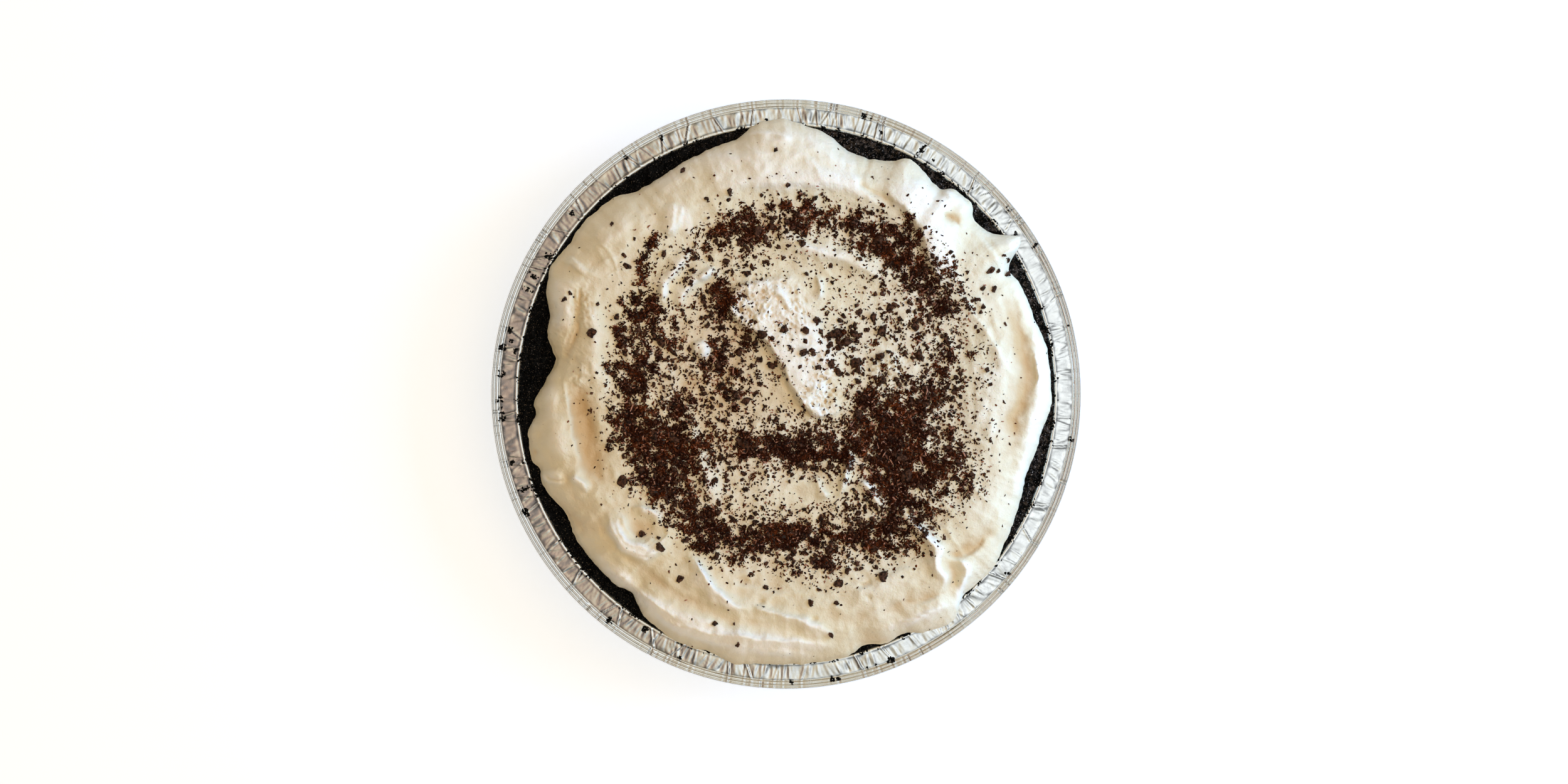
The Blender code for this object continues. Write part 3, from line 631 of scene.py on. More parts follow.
# Spatula strokes: the points of a smooth line, its reach to the left and to the right, its height.
strokes = (
    (((12, 42), (2, 44), (-12, 43), (-20.5, 38), (-21, 31), (-15, 26), (-8, 21), (-2, 12), (3, 2),
      (9, -6), (16, -8), (24, -4), (34, 4)), 6.5, 1.1, 3.4),
    (((-22, 38), (-11, 36), (0, 30), (9, 18), (15, 6), (24, -2)), 9, 10, 3.0),
    (((13, 46), (13.5, 41), (12, 35)), 1.5, 2.5, 1.6),
    (((-70, 66), (-50, 80), (-25, 90), (0, 94), (22, 91), (40, 84)), 9, 11, 2.0),
    (((-14, 101), (-4, 100.5), (8, 100)), 2, 4, 0.6),
    (((-34, 75), (-18, 80), (0, 81), (16, 81), (26, 79), (34, 73.5), (40, 68)), 6, 3, 2.2),
    (((26, 81), (34, 77), (42, 73)), 2.2, 2.2, -2.0),
    (((34, 79), (45, 72), (52, 62), (55.5, 51), (62, 38)), 11, 2.2, 4.0),
    (((48, 83), (55, 76), (63, 70)), 4, 4, 1.4),
    (((60, 79), (66, 75), (72, 70)), 2.5, 3, 1.8),
    (((60, 69), (64, 67), (68, 64.5)), 2, 2, -2.4),
    (((74, 66), (80, 58), (86, 57), (92, 58)), 3.5, 3.5, 1.2),
    (((75, 61), (78, 54), (84, 50)), 4.5, 3.5, -1.5),
    (((83, 49), (91, 37), (97, 20), (98.5, 4), (95, -10), (92, -26), (87, -42), (80, -58)), 5, 4, 2.4),
    (((82, 44), (88, 28), (92, 12), (91, 0), (87, -14), (87, -30)), 3.6, 4.2, -2.7),
    (((93.5, 20), (97, 9), (95, 1)), 1.2, 1.6, 1.2),
    (((70, 24), (78, 8), (76, -8), (72, -20)), 6, 8, 1.2),
    (((42, -43), (50, -51), (58, -58), (58, -65), (61, -71), (57, -78)), 2.2, 3.2, 3.4),
    (((66, -61), (69.5, -67), (67, -76), (65, -86)), 2.6, 2.6, 2.8),
    (((62, -64), (64, -70), (62, -76)), 2.2, 2.2, -1.4),
    (((59, -61), (67, -62.5), (73, -59), (80, -51.5)), 3.4, 1.2, -2.2),
    (((33, -91), (44, -88), (56, -83), (64, -78)), 3.5, 3.5, 1.8),
    (((34, -84), (48, -80), (57, -76)), 3, 3, -0.9),
    (((24, -78), (38, -73), (52, -66)), 4, 4, 1.2),
    (((-80, -50), (-70, -65), (-56, -77), (-38, -88), (-18, -94), (4, -97), (26, -95)), 5, 5, 3.0),
    (((-70, -58), (-56, -70), (-38, -80), (-18, -87), (6, -91)), 4, 4, -1.0),
    (((-14, -81.5), (-4, -84), (8, -88), (18, -93)), 1.8, 3.2, 2.4),
    (((-36, -61), (-31, -71), (-23, -79), (-12, -83)), 2.0, 4.5, 3.0),
    (((-69, -43), (-67, -51), (-62, -58.5), (-55, -61.5), (-48, -60), (-44, -55)), 4.2, 1.6, 3.0),
    (((-57, -45), (-52, -45.5), (-47, -48)), 3, 3, 1.7),
    (((-84, 46), (-86, 40), (-85.5, 30), (-89, 18)), 5.4, 5.4, 2.6),
    (((-79.5, 43), (-79, 35), (-80.5, 24), (-85, 13)), 1.6, 2.0, -2.0),
    (((-87, 14), (-91, 2), (-90, -8), (-87, -20), (-84, -34)), 4, 5, 1.9),
    (((-80, 8), (-79, -8), (-76, -24), (-72, -38)), 5, 4.5, -3.1),
    (((-76, 40), (-74, 26), (-74, 10), (-70, -4)), 4, 4, 1.6),
    (((-96, -29), (-92.5, -33), (-88, -34.6), (-84, -33)), 4.5, 1.0, 2.4),
    (((-83, -31), (-79.5, -34), (-76, -38)), 3.2, 1.6, 2.0),
    (((-97, -6), (-98, -14)), 2.4, 2.4, 1.6),
    (((-82, 48), (-80, 51)), 4.5, 4.5, 1.6),
    (((-75, 57), (-66, 62), (-58, 70)), 6, 6, 1.2),
    (((-44, 74), (-43, 66), (-46, 60)), 1.6, 5, 2.2),
    (((-28, 49), (-33, 44), (-39, 39), (-41, 33)), 1.8, 4, 3.0),
    (((-36, 55), (-42, 48), (-47, 40), (-48, 34)), 1.8, 4, 2.6),
    (((-4, 70), (-1, 62), (4, 57), (16, 54), (30, 49), (44, 38)), 4.5, 3, 2.0),
    (((24.5, -20), (24, -26), (22, -34), (20, -40)), 1.8, 1.8, 3.2),
    (((11, -31), (13, -36), (16, -40)), 2, 2.6, 2.2),
    (((28, -33), (33, -38), (38, -45)), 2.2, 3, 2.8),
    (((-37, -6), (-35, -18), (-30, -32), (-26, -46)), 3, 4, 1.8),
)

# Thinner crests and grooves that the solid leaves out, written the same way.
fineStrokes = (
    (((-20, 99.5), (-12, 100.5), (-4, 99.5), (4, 98)), 0.8, 1.6, 0.7),
    (((75, 50), (82, 53), (88, 56), (92, 59)), 1.2, 2.2, 0.8),
    (((61, 79), (63, 76), (65, 73)), 1.2, 1.2, 0.9),
    (((66, 78), (68, 74), (71, 71)), 1.2, 1.2, 0.8),
    (((72.5, 63), (78.5, 55.5), (83, 50.5), (86.5, 46)), 0.8, 4.5, 1.0),
    (((62, 44), (69, 35), (77, 24), (84, 12), (87, 5)), 1.4, 3.5, 0.8),
    (((94, 18), (97, 8), (96, 3)), 0.7, 1.0, 0.9),
    (((60, -49), (69, -62), (75, -58)), 0.9, 0.9, 0.5),
    (((41, -88), (52, -85), (63, -81)), 0.8, 1.6, 0.9),
    (((48, -81), (56, -78), (62, -75)), 0.9, 0.9, -0.8),
    (((-82, -31), (-79, -33), (-76, -37)), 0.9, 1.4, 0.9),
    (((-94, -30), (-89, -33.5), (-85, -33)), 0.8, 0.8, -0.9),
    (((-82, 42), (-80.5, 34), (-81, 28), (-86, 16)), 0.7, 0.7, -0.9),
    (((-86, 8), (-84, -4), (-82, -16), (-78, -28)), 0.9, 2.0, 0.9),
    (((-73, 58), (-69, 56), (-66, 51), (-64, 44)), 0.6, 0.6, 0.4),
    (((-72, 50), (-68, 52), (-63, 53)), 0.6, 0.6, 0.4),
    (((-70, 44), (-66, 47), (-62, 50)), 0.6, 0.6, 0.4),
    (((-72, -64), (-60, -73), (-48, -82), (-38, -88)), 0.9, 2.0, 0.8),
    (((-54.5, -78), (-47, -85.7), (-36, -90.3), (-20, -92.7), (-5, -94.5), (11, -95.5), (23, -99)), 1.4, 2.6, 1.3),
    (((-42, -90), (-30, -94), (-16, -97), (0, -99), (14, -100)), 1.2, 2.4, 0.8),
    (((-69, -45), (-66.5, -53), (-61.5, -60), (-54, -63), (-48, -61.5)), 1.2, 1.6, 1.1),
    (((-66, -47), (-63, -54), (-58, -58), (-52, -59)), 0.9, 1.4, 1.0),
    (((-64, -45), (-61.5, -51), (-57, -55.5)), 0.8, 1.2, 0.8),
    (((-60, -44), (-54, -43.5), (-49, -46)), 0.9, 1.6, 0.8),
    (((-50, -58), (-46, -54), (-45, -50)), 0.9, 1.4, 0.7),
    (((-59, -56), (-55, -58), (-51, -55)), 0.8, 0.8, 0.6),
    (((-35, -64), (-29, -73), (-20, -81)), 0.8, 2.0, 0.8),
    (((5, -85), (12, -88), (20, -94)), 0.9, 1.8, 0.8),
    (((43, -43), (52, -53), (57, -58), (57, -65), (60, -71)), 0.8, 1.6, 0.9),
    (((66, -62), (69, -68), (67, -77)), 0.8, 1.6, 0.8),
    (((27, -73.5), (30, -72.5), (33, -71.5)), 0.9, 0.9, -0.8),
    (((0, 60), (12, 55), (26, 50), (38, 44)), 1.0, 2.4, 0.5),
    (((11.5, 46), (13, 41), (13.5, 36)), 0.7, 1.4, 0.8),
    (((-40, 72), (-41, 66), (-44, 60)), 0.8, 2.0, 0.8),
)

pits = (  # x, y, half length, half width, turn, depth, or height where it is less than nothing
    (-27, 4, 17, 27, 0, 1.1), (63.8, 67.7, 4.4, 1.7, -12, 1.4), (-96.5, -22.2, 0.9, 1.2, 0, 0.9),
    (-16.8, -71.7, 2.2, 1.8, 10, 1.1), (-10, -79.9, 2.0, 1.0, 10, 0.9), (10.6, -86.3, 1.6, 1.0, 20, 0.9),
    (29.5, -73.4, 3.0, 0.8, 15, 0.8), (31.8, -78.0, 1.0, 0.8, 0, 0.7), (-78.5, 9.5, 1.8, 2.4, 10, -0.8),
    (-79.5, 4.5, 1.6, 1.8, 0, -0.7), (-77, 36, 2.4, 1.8, 20, -0.7), (-75.5, 31.5, 2.2, 2.4, 0, -0.6),
    (-78.2, 29, 1.6, 1.6, 0, -0.5), (-55.6, -52.3, 5.4, 4.8, 0, 1.8), (78, 14, 3.0, 5.0, 10, 0.5),
    (96, -33.5, 1.1, 0.7, 0, -0.8), (-20.5, 30, 1.4, 0.6, 20, 0.7),
)

blobs = (  # x, y, half length, half width, turn, height: drops with a crisp edge
    (-32.9, 17.3, 3.5, 3.2, 20, 2.4), (-31.2, 15.4, 2.2, 2.4, 0, 0.8), (-39, 67, 2.6, 6.0, 12, 0.4),
    (-47, 39.5, 1.8, 2.6, -20, 1.2), (-31, 46, 1.6, 3.4, -38, 1.4),
)

torn = (  # x, y, half length, half width, turn, strength: foam pulled apart, rough as bread
    (-9, 36, 15, 8, 10, 1.0), (-14, 30, 6, 4, 0, 0.8), (12, -2, 9, 8, 30, 1.0), (2, 28, 8, 7, 60, 0.7),
    (12, 12, 6, 9, 20, 0.5), (38, 10, 9, 6, 20, 0.8), (-86, 22, 4, 12, 10, 0.25), (-78, 33, 5, 9, 0, 0.5),
    (-79, 8, 4, 8, 0, 0.4),
)


def edgeRadius(angle):  # rounded a little where the points above meet, then uneven as spread cream is
    blurred = [edgeBetween(np.degrees(angle) + offset) for offset in topping["edgeBlur"]]
    outline = sum(blurred) / len(blurred)
    for reach, size, seed in topping["edgeWander"]:
        outline = outline + reach * grain(np.cos(angle), np.sin(angle), size, seed)
    return outline


def edgeBetween(degrees):
    degrees = degrees % 360.0
    turns = np.array([at for at, reach in toppingEdge] + [360.0])
    radii = np.array([reach for at, reach in toppingEdge] + [toppingEdge[0][1]])
    before = np.minimum(np.searchsorted(turns, degrees, side="right"), len(toppingEdge)) - 1
    share = (degrees - turns[before]) / (turns[before + 1] - turns[before])
    eased = 0.5 * share + share * share * (1.5 - share)
    return radii[before] + (radii[before + 1] - radii[before]) * eased


def smoothLine(points):  # a Catmull-Rom curve through the points
    knots = np.array([points[0], *points, points[-1]], float)
    line = []
    for a, b, c, d in zip(knots, knots[1:], knots[2:], knots[3:]):
        for t in np.arange(topping["strokeSteps"]) / topping["strokeSteps"]:
            bend = (2 * a - 5 * b + 4 * c - d) * t**2 + (3 * b - a - 3 * c + d) * t**3
            line.append(0.5 * (2 * b + (c - a) * t + bend))
    return np.array([*line, knots[-1]])


def addStroke(total, x, y, stroke):
    points, leftReach, rightReach, height = stroke
    line = smoothLine(points)
    margin = 3.0 * max(leftReach, rightReach)
    (lowX, lowY), (highX, highY) = line.min(0) - margin, line.max(0) + margin
    inside = np.flatnonzero((x > lowX) & (x < highX) & (y > lowY) & (y < highY))
    px, py = x[inside], y[inside]
    nearest, side, passed = np.full(len(inside), np.inf), np.zeros(len(inside)), np.zeros(len(inside))
    for number, ((ax, ay), (bx, by)) in enumerate(zip(line, line[1:])):
        dx, dy = bx - ax, by - ay
        along = np.clip(((px - ax) * dx + (py - ay) * dy) / (dx * dx + dy * dy), 0.0, 1.0)
        offX, offY = px - ax - along * dx, py - ay - along * dy
        distance = np.hypot(offX, offY)
        closer = distance < nearest
        nearest = np.where(closer, distance, nearest)
        side = np.where(closer, dx * offY - dy * offX, side)
        passed = np.where(closer, (number + along) / (len(line) - 1), passed)
    reach = np.where(side > 0.0, leftReach, rightReach)
    fade = np.minimum(1.0, np.minimum(passed, 1.0 - passed) / topping["strokeFade"])
    crisp = 0.75 * smoothStep(-reach, -5.0, -1.0)
    slope = (1.0 - crisp) * np.exp(-((nearest / reach) ** 2)) + crisp * np.exp(-1.9 * nearest / reach)
    total[inside] += height * fade * fade * (3.0 - 2.0 * fade) * slope


def patchAmount(x, y, patch, sharpness=1.5):  # 1 in the middle of an oval patch, 0 well outside it
    centreX, centreY, long, wide, turn = patch[:5]
    cosine, sine = math.cos(math.radians(turn)), math.sin(math.radians(turn))
    offX, offY = x - centreX, y - centreY
    away = ((offX * cosine + offY * sine) / long) ** 2 + ((offY * cosine - offX * sine) / wide) ** 2
    return np.exp(-(away**sharpness))


def tornAmount(x, y):
    return np.clip(sum(patch[5] * patchAmount(x, y, patch) for patch in torn), 0.0, 1.0)


def tornRelief(x, y):  # crisp flaps between deeper hollows
    along, across = 0.8 * x - 0.6 * y, 0.6 * x + 0.8 * y
    flaps = topping["tornLift"] + topping["flapHeight"] * grain(0.6 * along, across, topping["flapSize"], 11.0)
    return flaps - topping["gashDepth"] * np.abs(grain(along, across, topping["gashSize"], 12.0))


def toppingHeight(x, y):  # millimetres in, millimetres out
    radius = np.hypot(x, y)
    inwards = np.maximum(0.0, edgeRadius(np.arctan2(y, x)) - radius)
    share = np.minimum(1.0, inwards / topping["shoulder"])
    basin = 1.0 / (1.0 + np.exp((radius - topping["basinRadius"]) / topping["basinEase"]))
    body = topping["depth"] * (1.0 - (1.0 - share) ** topping["shoulderPower"]) - topping["basinDepth"] * basin
    swept = sweptRelief(x, y) * np.minimum(1.0, topping["edgeShare"] + inwards / topping["edgeFade"])
    rounded = topping["roundDepth"] * (1.0 - np.minimum(1.0, inwards / topping["roundEdge"])) ** 2
    return topping["underside"] + topping["lip"] + np.maximum(body + swept, topping["lowest"]) - rounded


def dropAmount(x, y, blob):
    return patchAmount(x, y, blob, topping["dropSharpness"])


def sweptRelief(x, y):  # strokes, folds, torn foam and pits over the plain body
    radius, angle = np.hypot(x, y), np.arctan2(y, x)
    swept = topping["rippleHeight"] * grain(x, y, topping["rippleLength"])
    pulledX, pulledY = x, y
    for reach, size, seed in topping["pulls"]:
        pulledX = pulledX + reach * grain(x, y, size, seed)
        pulledY = pulledY + reach * grain(x, y, size, seed + 1.0)
    for stroke in strokes:
        addStroke(swept, pulledX, pulledY, stroke)
    for points, left, right, height in fineStrokes:
        addStroke(swept, pulledX, pulledY, (points, left, right, topping["fineStrokeGain"] * height))
    swept -= sum(pit[5] * patchAmount(x, y, pit) for pit in pits)
    swept += sum(blob[5] * dropAmount(pulledX, pulledY, blob) for blob in blobs)
    rough = tornAmount(x, y)
    swept += rough * tornRelief(x, y)
    folds = 0.15 - topping["foldDepth"] * np.abs(grain(x, y, topping["foldSize"], 13.0))
    swept += (1.0 - rough) * folds + topping["poreHeight"] * grain(x, y, topping["poreSize"], 14.0)
    combed = grain(angle * 7.0, radius / 2.6, 1.0, 15.0)
    return swept + topping["combHeight"] * combed * smoothStep(radius, 60, 80)


def discFaces(rings):  # a disc of rings, the nth with 6n points, round a middle point
    faces = []
    for n in range(1, rings + 1):
        outer, inner = 1 + 3 * n * (n - 1), max(0, 1 + 3 * (n - 1) * (n - 2))
        around, within = 6 * n, max(1, 6 * (n - 1))
        for step in range(around):
            sector, k = divmod(step, n)
            near = inner + (sector * (n - 1) + k) % within
            after = outer + (step + 1) % around
            faces.append((outer + step, after, near))
            if k < n - 1:
                faces.append((after, inner + (sector * (n - 1) + k + 1) % within, near))
    return faces


def makeTopping(finish):
    rings, low, lip, filling = (topping[key] for key in ("rings", "underside", "lip", "fillingRadius"))
    counts = [6 * n for n in range(1, rings + 1)]
    angles = np.concatenate([[0.0]] + [math.tau * np.arange(count) / count for count in counts])
    out = np.concatenate([[0.0]] + [np.full(count, count / 6 / rings) for count in counts])
    radii = out * edgeRadius(angles)
    x, y = radii * np.cos(angles), radii * np.sin(angles)
    top = np.stack([x, y, toppingHeight(x, y)], 1) * mm
    around = counts[-1]
    edge = edgeRadius(math.tau * np.arange(around) / around)
    rows = [(edge + further, low + share * lip) for further, share in topping["lipRings"]]
    rows += [(edge * 0.985, low), (np.minimum(edge * 0.96, filling + 7.0), low)]
    rows.append((np.full(around, filling - 1.0), topping["fillingTop"]))
    below = [ringPoints(reach, np.full(around, height)) for reach, height in rows]
    starts = [len(top) - around] + [len(top) + number * around for number in range(len(below))]
    faces = discFaces(rings)
    for upper, lower in zip(starts, starts[1:]):
        faces += bandFaces(lower, upper, around)
    faces.append(tuple(reversed(range(starts[-1], starts[-1] + around))))
    mesh = meshFrom(np.concatenate([top, *below]), faces)
    swept, rough = sweptRelief(x, y), tornAmount(x, y)
    # tan painted into the gaps of the torn foam: painted shade
    tornPaintedShade = 0.8 * rough * smoothStep(-tornRelief(x, y), -0.5, 1.8)
    dropped = np.clip(sum(dropAmount(x, y, blob) for blob in blobs), 0.0, 1.0)
    thick, loose = gratedCover(x, y)
    masks = {
        # the masks for painted shade (tan in hollows) and painted highlight (white on crests and drops) are set here
        "torn": rough, "paintedShade": np.maximum(smoothStep(-swept, -0.5, 2.8), tornPaintedShade),
        "paintedHighlight": np.maximum(smoothStep(swept, 0.6, 2.6), dropped), "grated": thick, "sprinkled": loose,
    }
    for name, cover in masks.items():
        setAttribute(mesh, name, np.concatenate([cover, np.zeros(len(below) * around)]))
    return addPiece("whippedTopping", mesh, finish, "whipped_cream", "whipped_cream")


# Chocolate

grated = (  # x, y, half length, half width, turn, how thickly it lies from 0 to 1
    (-50.5, 59, 6, 2.8, 50, 0.8), (-55.5, 49, 6.5, 3.2, 70, 0.8), (-55.5, 32.7, 9.5, 7, 0, 1.1),
    (-64.5, 21.5, 4.5, 4, 0, 0.8), (-48, 19, 8, 6, 0, 0.45), (-58.5, 9.6, 9.5, 7.5, 0, 1.0), (-62, 1, 5, 4, 0, 0.7),
    (-15, 66, 8, 6, 20, 0.7), (-25.7, 61.5, 8, 5, 0, 0.45), (-12.3, 61.5, 4, 4, 0, 0.9), (-32, 60, 5, 4, 0, 0.4),
    (-25.7, 39.4, 4.5, 7, 0, 1.05), (-24.3, 32, 3.5, 3.5, 0, 0.9), (-38, 52, 5, 4, 0, 0.35),
    (-13.8, 20, 4, 3.4, 0, 0.9), (-25.7, 9.6, 7, 6, 0, 0.75), (-19, -1, 4, 3, 0, 0.8), (-28, 16, 3.5, 5, 0, 0.9),
    (-49.6, -17.4, 16, 12, -20, 1.2), (-62, -12, 6, 7, 0, 0.8), (-36, -22, 7, 7, 0, 0.8), (-50, -33, 8, 6, 0, 0.7),
    (-43.6, -39.7, 11, 6.5, -30, 0.85), (-33.9, -48.7, 7, 7, 0, 0.9), (-24.3, -56.9, 13, 6, -12, 1.0),
    (-4.9, -53.5, 11, 5, 5, 0.9), (-15.3, -18.9, 6, 5, 0, 0.9), (-3.4, -20, 11, 5.5, 0, 1.0),
    (-40.6, -4, 4, 3.5, 0, 0.7), (42.9, 57.2, 11.5, 9.5, -35, 1.1), (33, 56, 6, 5, 0, 0.9),
    (25.8, 66.2, 4.5, 3.5, 0, 0.8), (9.4, 69.1, 9, 6, -10, 0.85), (4.2, 61.7, 6, 4, 0, 0.7), (-1, 72, 4, 3, 0, 0.6),
    (51.9, 43.8, 10, 6, -35, 0.9), (58.6, 33.4, 8, 5, -20, 0.65), (53.4, 27.4, 5, 4, 0, 0.55),
    (67, 38, 7, 6, 0, 0.35), (61.6, 17, 8, 7, 0, 0.45), (60.1, 7.4, 8, 7, 0, 0.6), (52.6, 2.1, 5, 5, 0, 0.5),
    (64, 49.5, 5, 4, 0, 0.6), (21.4, 22.2, 6, 4.5, 0, 0.6), (7.2, 14.8, 5, 3.5, 0, 0.5), (37.5, 29, 6, 6, 0, 0.35),
    (38.5, -15.2, 16, 12, -15, 1.25), (11.7, -21.9, 13, 6, 0, 1.15), (44.4, -31.5, 12, 9, -30, 1.1),
    (60.8, -29.3, 11, 7, -20, 0.6), (69.7, -35.3, 7, 5, -30, 0.45), (63.8, -20.4, 7, 6, 0, 0.5),
    (40.7, -40.5, 4.5, 3.5, 0, 0.8), (51.9, -46.4, 4.5, 3.5, 0, 0.8), (41.5, -49.4, 6, 5, -30, 0.85),
    (48.9, -5.5, 13, 6, 0, 0.6), (31.8, -1, 4, 4, 0, 0.6), (6.5, -54.6, 12, 4.5, 0, 1.0),
    (26.6, -54.6, 9, 4.5, 0, 0.9), (37, -56.9, 9, 5, 10, 0.95), (14.7, -63.6, 4.5, 4.5, 0, 0.8),
    (23.6, -46.4, 4, 4, 0, 0.5), (50, -58, 5, 3, 0, 0.5), (3.5, -67.3, 4, 1.6, 0, 0.4), (16, -66, 4, 2, 0, 0.6),
    (0, 0, 62, 58, 0, 0.13), (0, 6, 74, 70, 0, 0.06), (45, -10, 26, 34, 0, 0.08), (-35, 35, 26, 34, 0, 0.1),
    (-5, 68, 30, 12, 0, 0.14),
)

bare = (  # x, y, half length, half width, turn: places that hardly any chocolate fell on
    (-6, 34, 14, 9, 20), (6, 12, 6, 16, -20), (13, -3, 8, 6, 30), (20, 53, 22, 4, -20), (10, -37, 15, 4.5, 0),
    (-45, 40, 4, 7, -20), (-32.5, 17, 4.2, 3.6, -20), (-31, 45.3, 4, 6, -40), (-41, 66, 4, 8, 10),
)


def gratedCover(x, y):  # how thickly gratings lie, and how thickly the looser specks round them
    warpX, warpY = x + 2.6 * grain(x, y, 6.0, 21.0), y + 2.6 * grain(x, y, 6.0, 22.0)
    clear = 1.0 - 0.85 * np.clip(sum(patchAmount(x, y, patch) for patch in bare), 0.0, 1.0)
    heaps = clear * sum(patch[5] * patchAmount(warpX, warpY, patch, 1.0) for patch in grated)
    clumps = 0.5 + 0.75 * grain(x, y, 4.4, 23.0) + 0.6 * grain(x, y, 2.0, 24.0)
    heaped = 1.0 - np.exp(-1.1 * heaps**1.3)
    thick = smoothStep(1.25 * heaped - clumps, -0.05, 0.4) * smoothStep(heaps, 0.04, 0.16)
    wider = [((*patch[:2], patch[2] + 5.0, patch[3] + 5.0, patch[4]), patch[5]) for patch in grated]
    loose = clear * sum(amount * patchAmount(x, y, patch, 0.8) for patch, amount in wider)
    loose *= 1.0 - 0.85 * smoothStep(np.hypot(x - 9.0, y), 66.0, 82.0)
    loose = np.clip(0.4 * loose * (1.0 + 1.6 * grain(x, y, 3.0, 25.0)), 0.0, 1.0)
    return thick, loose


chips = {
    "seed": 21, "noiseSeed": 1796067036, "count": 50, "lengths": (2.4, 5.2), "spacing": 2.4, "fracture": 0.5,
    "breaks": 8, "smallBeyond": 72.0, "smallScale": 0.6, "attempts": 400, "gain": 0.9, "lift": 0.2, "crease": 32,
}

chipPatches = (  # x, y, radius and share of the larger pieces
    (38, 58, 9, 8), (50, 50, 8, 8), (57, 36, 8, 6), (60, 8, 9, 4), (20, 23, 6, 6), (20, 9, 9, 6), (-12, 21, 4, 3),
    (-28, 37, 6, 4), (-26, 14, 7, 3), (-59, 32, 8, 6), (-58, 10, 9, 6), (-50, -18, 13, 10), (-45, -34, 8, 4),
    (-16, -20, 6, 3), (4, -21, 9, 5), (34, -18, 12, 9), (46, -34, 8, 5), (62, -27, 8, 4), (-29, -55, 8, 6),
    (-6, -57, 8, 3), (14, -60, 7, 4), (38, -56, 7, 4), (51, -47, 4, 2), (-52, 56, 6, 3), (-12, 63, 10, 5),
    (9, 70, 8, 5), (-22, -74, 16, 3), (16, -76, 14, 3), (82, 46, 7, 2), (-20, 5, 18, 4),
)

largeChips = (  # x, y and length of the pieces that stand out
    (-62.7, -33.5, 5.6), (-55.6, -53.7, 3.6), (-48.6, -58.8, 4.6), (-85.1, 36.4, 3.2), (-74.6, 23.6, 5.2),
    (-61.4, 49.2, 4.0), (35.7, 59.4, 7.5), (78.5, 47.3, 4.5), (85.1, 45.9, 3.0), (85.5, 51.8, 2.6), (83.6, 53.3, 2.4),
    (79.7, 40.3, 3.6), (75.4, 40.5, 3.0), (73.4, 36.3, 3.0), (36.7, 24, 6.0), (33.4, 29.4, 5.0), (27.9, 31.2, 5.0),
    (40, 32.9, 4.5), (49.3, 25.9, 5.5), (36.1, 14.2, 4.5), (45.8, 15.8, 3.0), (51.3, 15.4, 5.0), (76.9, 9.3, 3.0),
    (26.7, 12.3, 5.5), (-14.5, 21.5, 5.0), (-12, 19.5, 4.5), (-10.2, 13.2, 3.6), (-17.5, 8.2, 3.2),
    (-19.5, -0.4, 4.2), (-15.6, -2.7, 4.2), (-12.1, 0, 3.0), (-10.2, 3.9, 3.6), (-5.9, 11.3, 4.6), (18.3, 23, 7.0),
    (22.5, 19.9, 5.5), (26.4, 23, 5.0), (16.7, 18.7, 4.0), (6.6, 16, 4.6), (10.5, 15.6, 2.8), (-0.8, 24.9, 4.0),
    (7.7, 24.5, 3.6), (11.6, 28.4, 4.6), (17.5, 11.3, 4.8), (20, 8.2, 4.8), (26, 12.5, 3.6), (27.6, 9.3, 4.4),
    (36.9, 5.5, 4.6), (50.9, 14.4, 5.6), (53.3, 2, 6.0), (53.7, -3.7, 4.6), (47.8, -3.5, 3.6), (40.4, -2.3, 3.6),
    (-15.6, -19.8, 7.0), (-25.3, -24.5, 4.5), (-43.6, -4.3, 3.8), (-39.7, -5.5, 4.2), (-24.9, 3.1, 5.0),
    (-24.5, 25.3, 3.6), (-48.3, 20.3, 4.4), (-43.6, 16.4, 4.2), (-35.8, 13.3, 2.6), (-30.4, 26.1, 3.0),
    (43.9, -24.5, 6.5), (-51, -15.9, 7.0), (-42.8, -17.5, 6.5), (20.2, -72.4, 4.7), (23.3, -67.8, 3.4),
    (37.3, -70.1, 5.5), (16.3, -60, 5.0), (9.6, -80.2, 3.5), (19.1, -80.2, 2.4), (-27.3, -88, 2.8),
    (-40.8, -70.9, 3.6), (-7.8, -74, 3.0), (45.9, -31.2, 7.5), (-20.2, -48.3, 3.6), (-27.2, -32.7, 3.0),
    (-15.6, -36.6, 3.2), (-7.8, -29.6, 2.6), (13.2, -47.5, 3.4), (51.4, -47.5, 4.0), (71.6, -31.1, 3.6),
    (61.5, -21, 3.5), (17.1, -92.3, 2.6), (-18.4, -96, 2.2), (-21.8, 77.4, 4.2), (0.8, 80.2, 2.8), (-10.9, 62.6, 6.0),
    (0.8, 65.7, 4.0), (6.2, 57.4, 4.8), (10.9, 75, 3.5), (25.7, 65.7, 4.2), (32.7, 69.6, 3.0), (-23.3, 50.9, 3.8),
    (-14.8, 46.2, 3.8), (-46.7, 54, 4.0), (-28.8, 30.7, 3.2), (-39.7, 85.9, 2.8), (-3.9, 93.7, 2.2),
    (-66.9, 65.2, 2.2), (-30.4, 75, 2.6), (7.8, 46.2, 2.8), (-7.8, 59.5, 4.5), (48.3, 64.9, 3.0), (52.9, 48.6, 4.2),
)


def chipPlaces():  # x, y and length, first the ones above, then smaller ones in their patches
    draw = random.Random(chips["seed"])
    shares = sum(share for *rest, share in chipPatches)
    places = [(x * mm, y * mm, length * mm) for x, y, length in largeChips]
    shortest, longest = (length * mm for length in chips["lengths"])
    for x, y, reach, share in chipPatches:
        wanted = len(places) + round(chips["count"] * share / shares)
        for attempt in range(chips["attempts"]):
            if len(places) == wanted:
                break
            bearing, away = draw.uniform(0, math.tau), reach * mm * math.sqrt(draw.random())
            spot = (x * mm + away * math.cos(bearing), y * mm + away * math.sin(bearing))
            if all(math.dist(spot, other[:2]) > chips["spacing"] * mm for other in places):
                small = chips["smallScale"] if math.hypot(*spot) > chips["smallBeyond"] * mm else 1.0
                places.append((*spot, small * draw.triangular(shortest, longest, shortest * 1.3)))
    return places


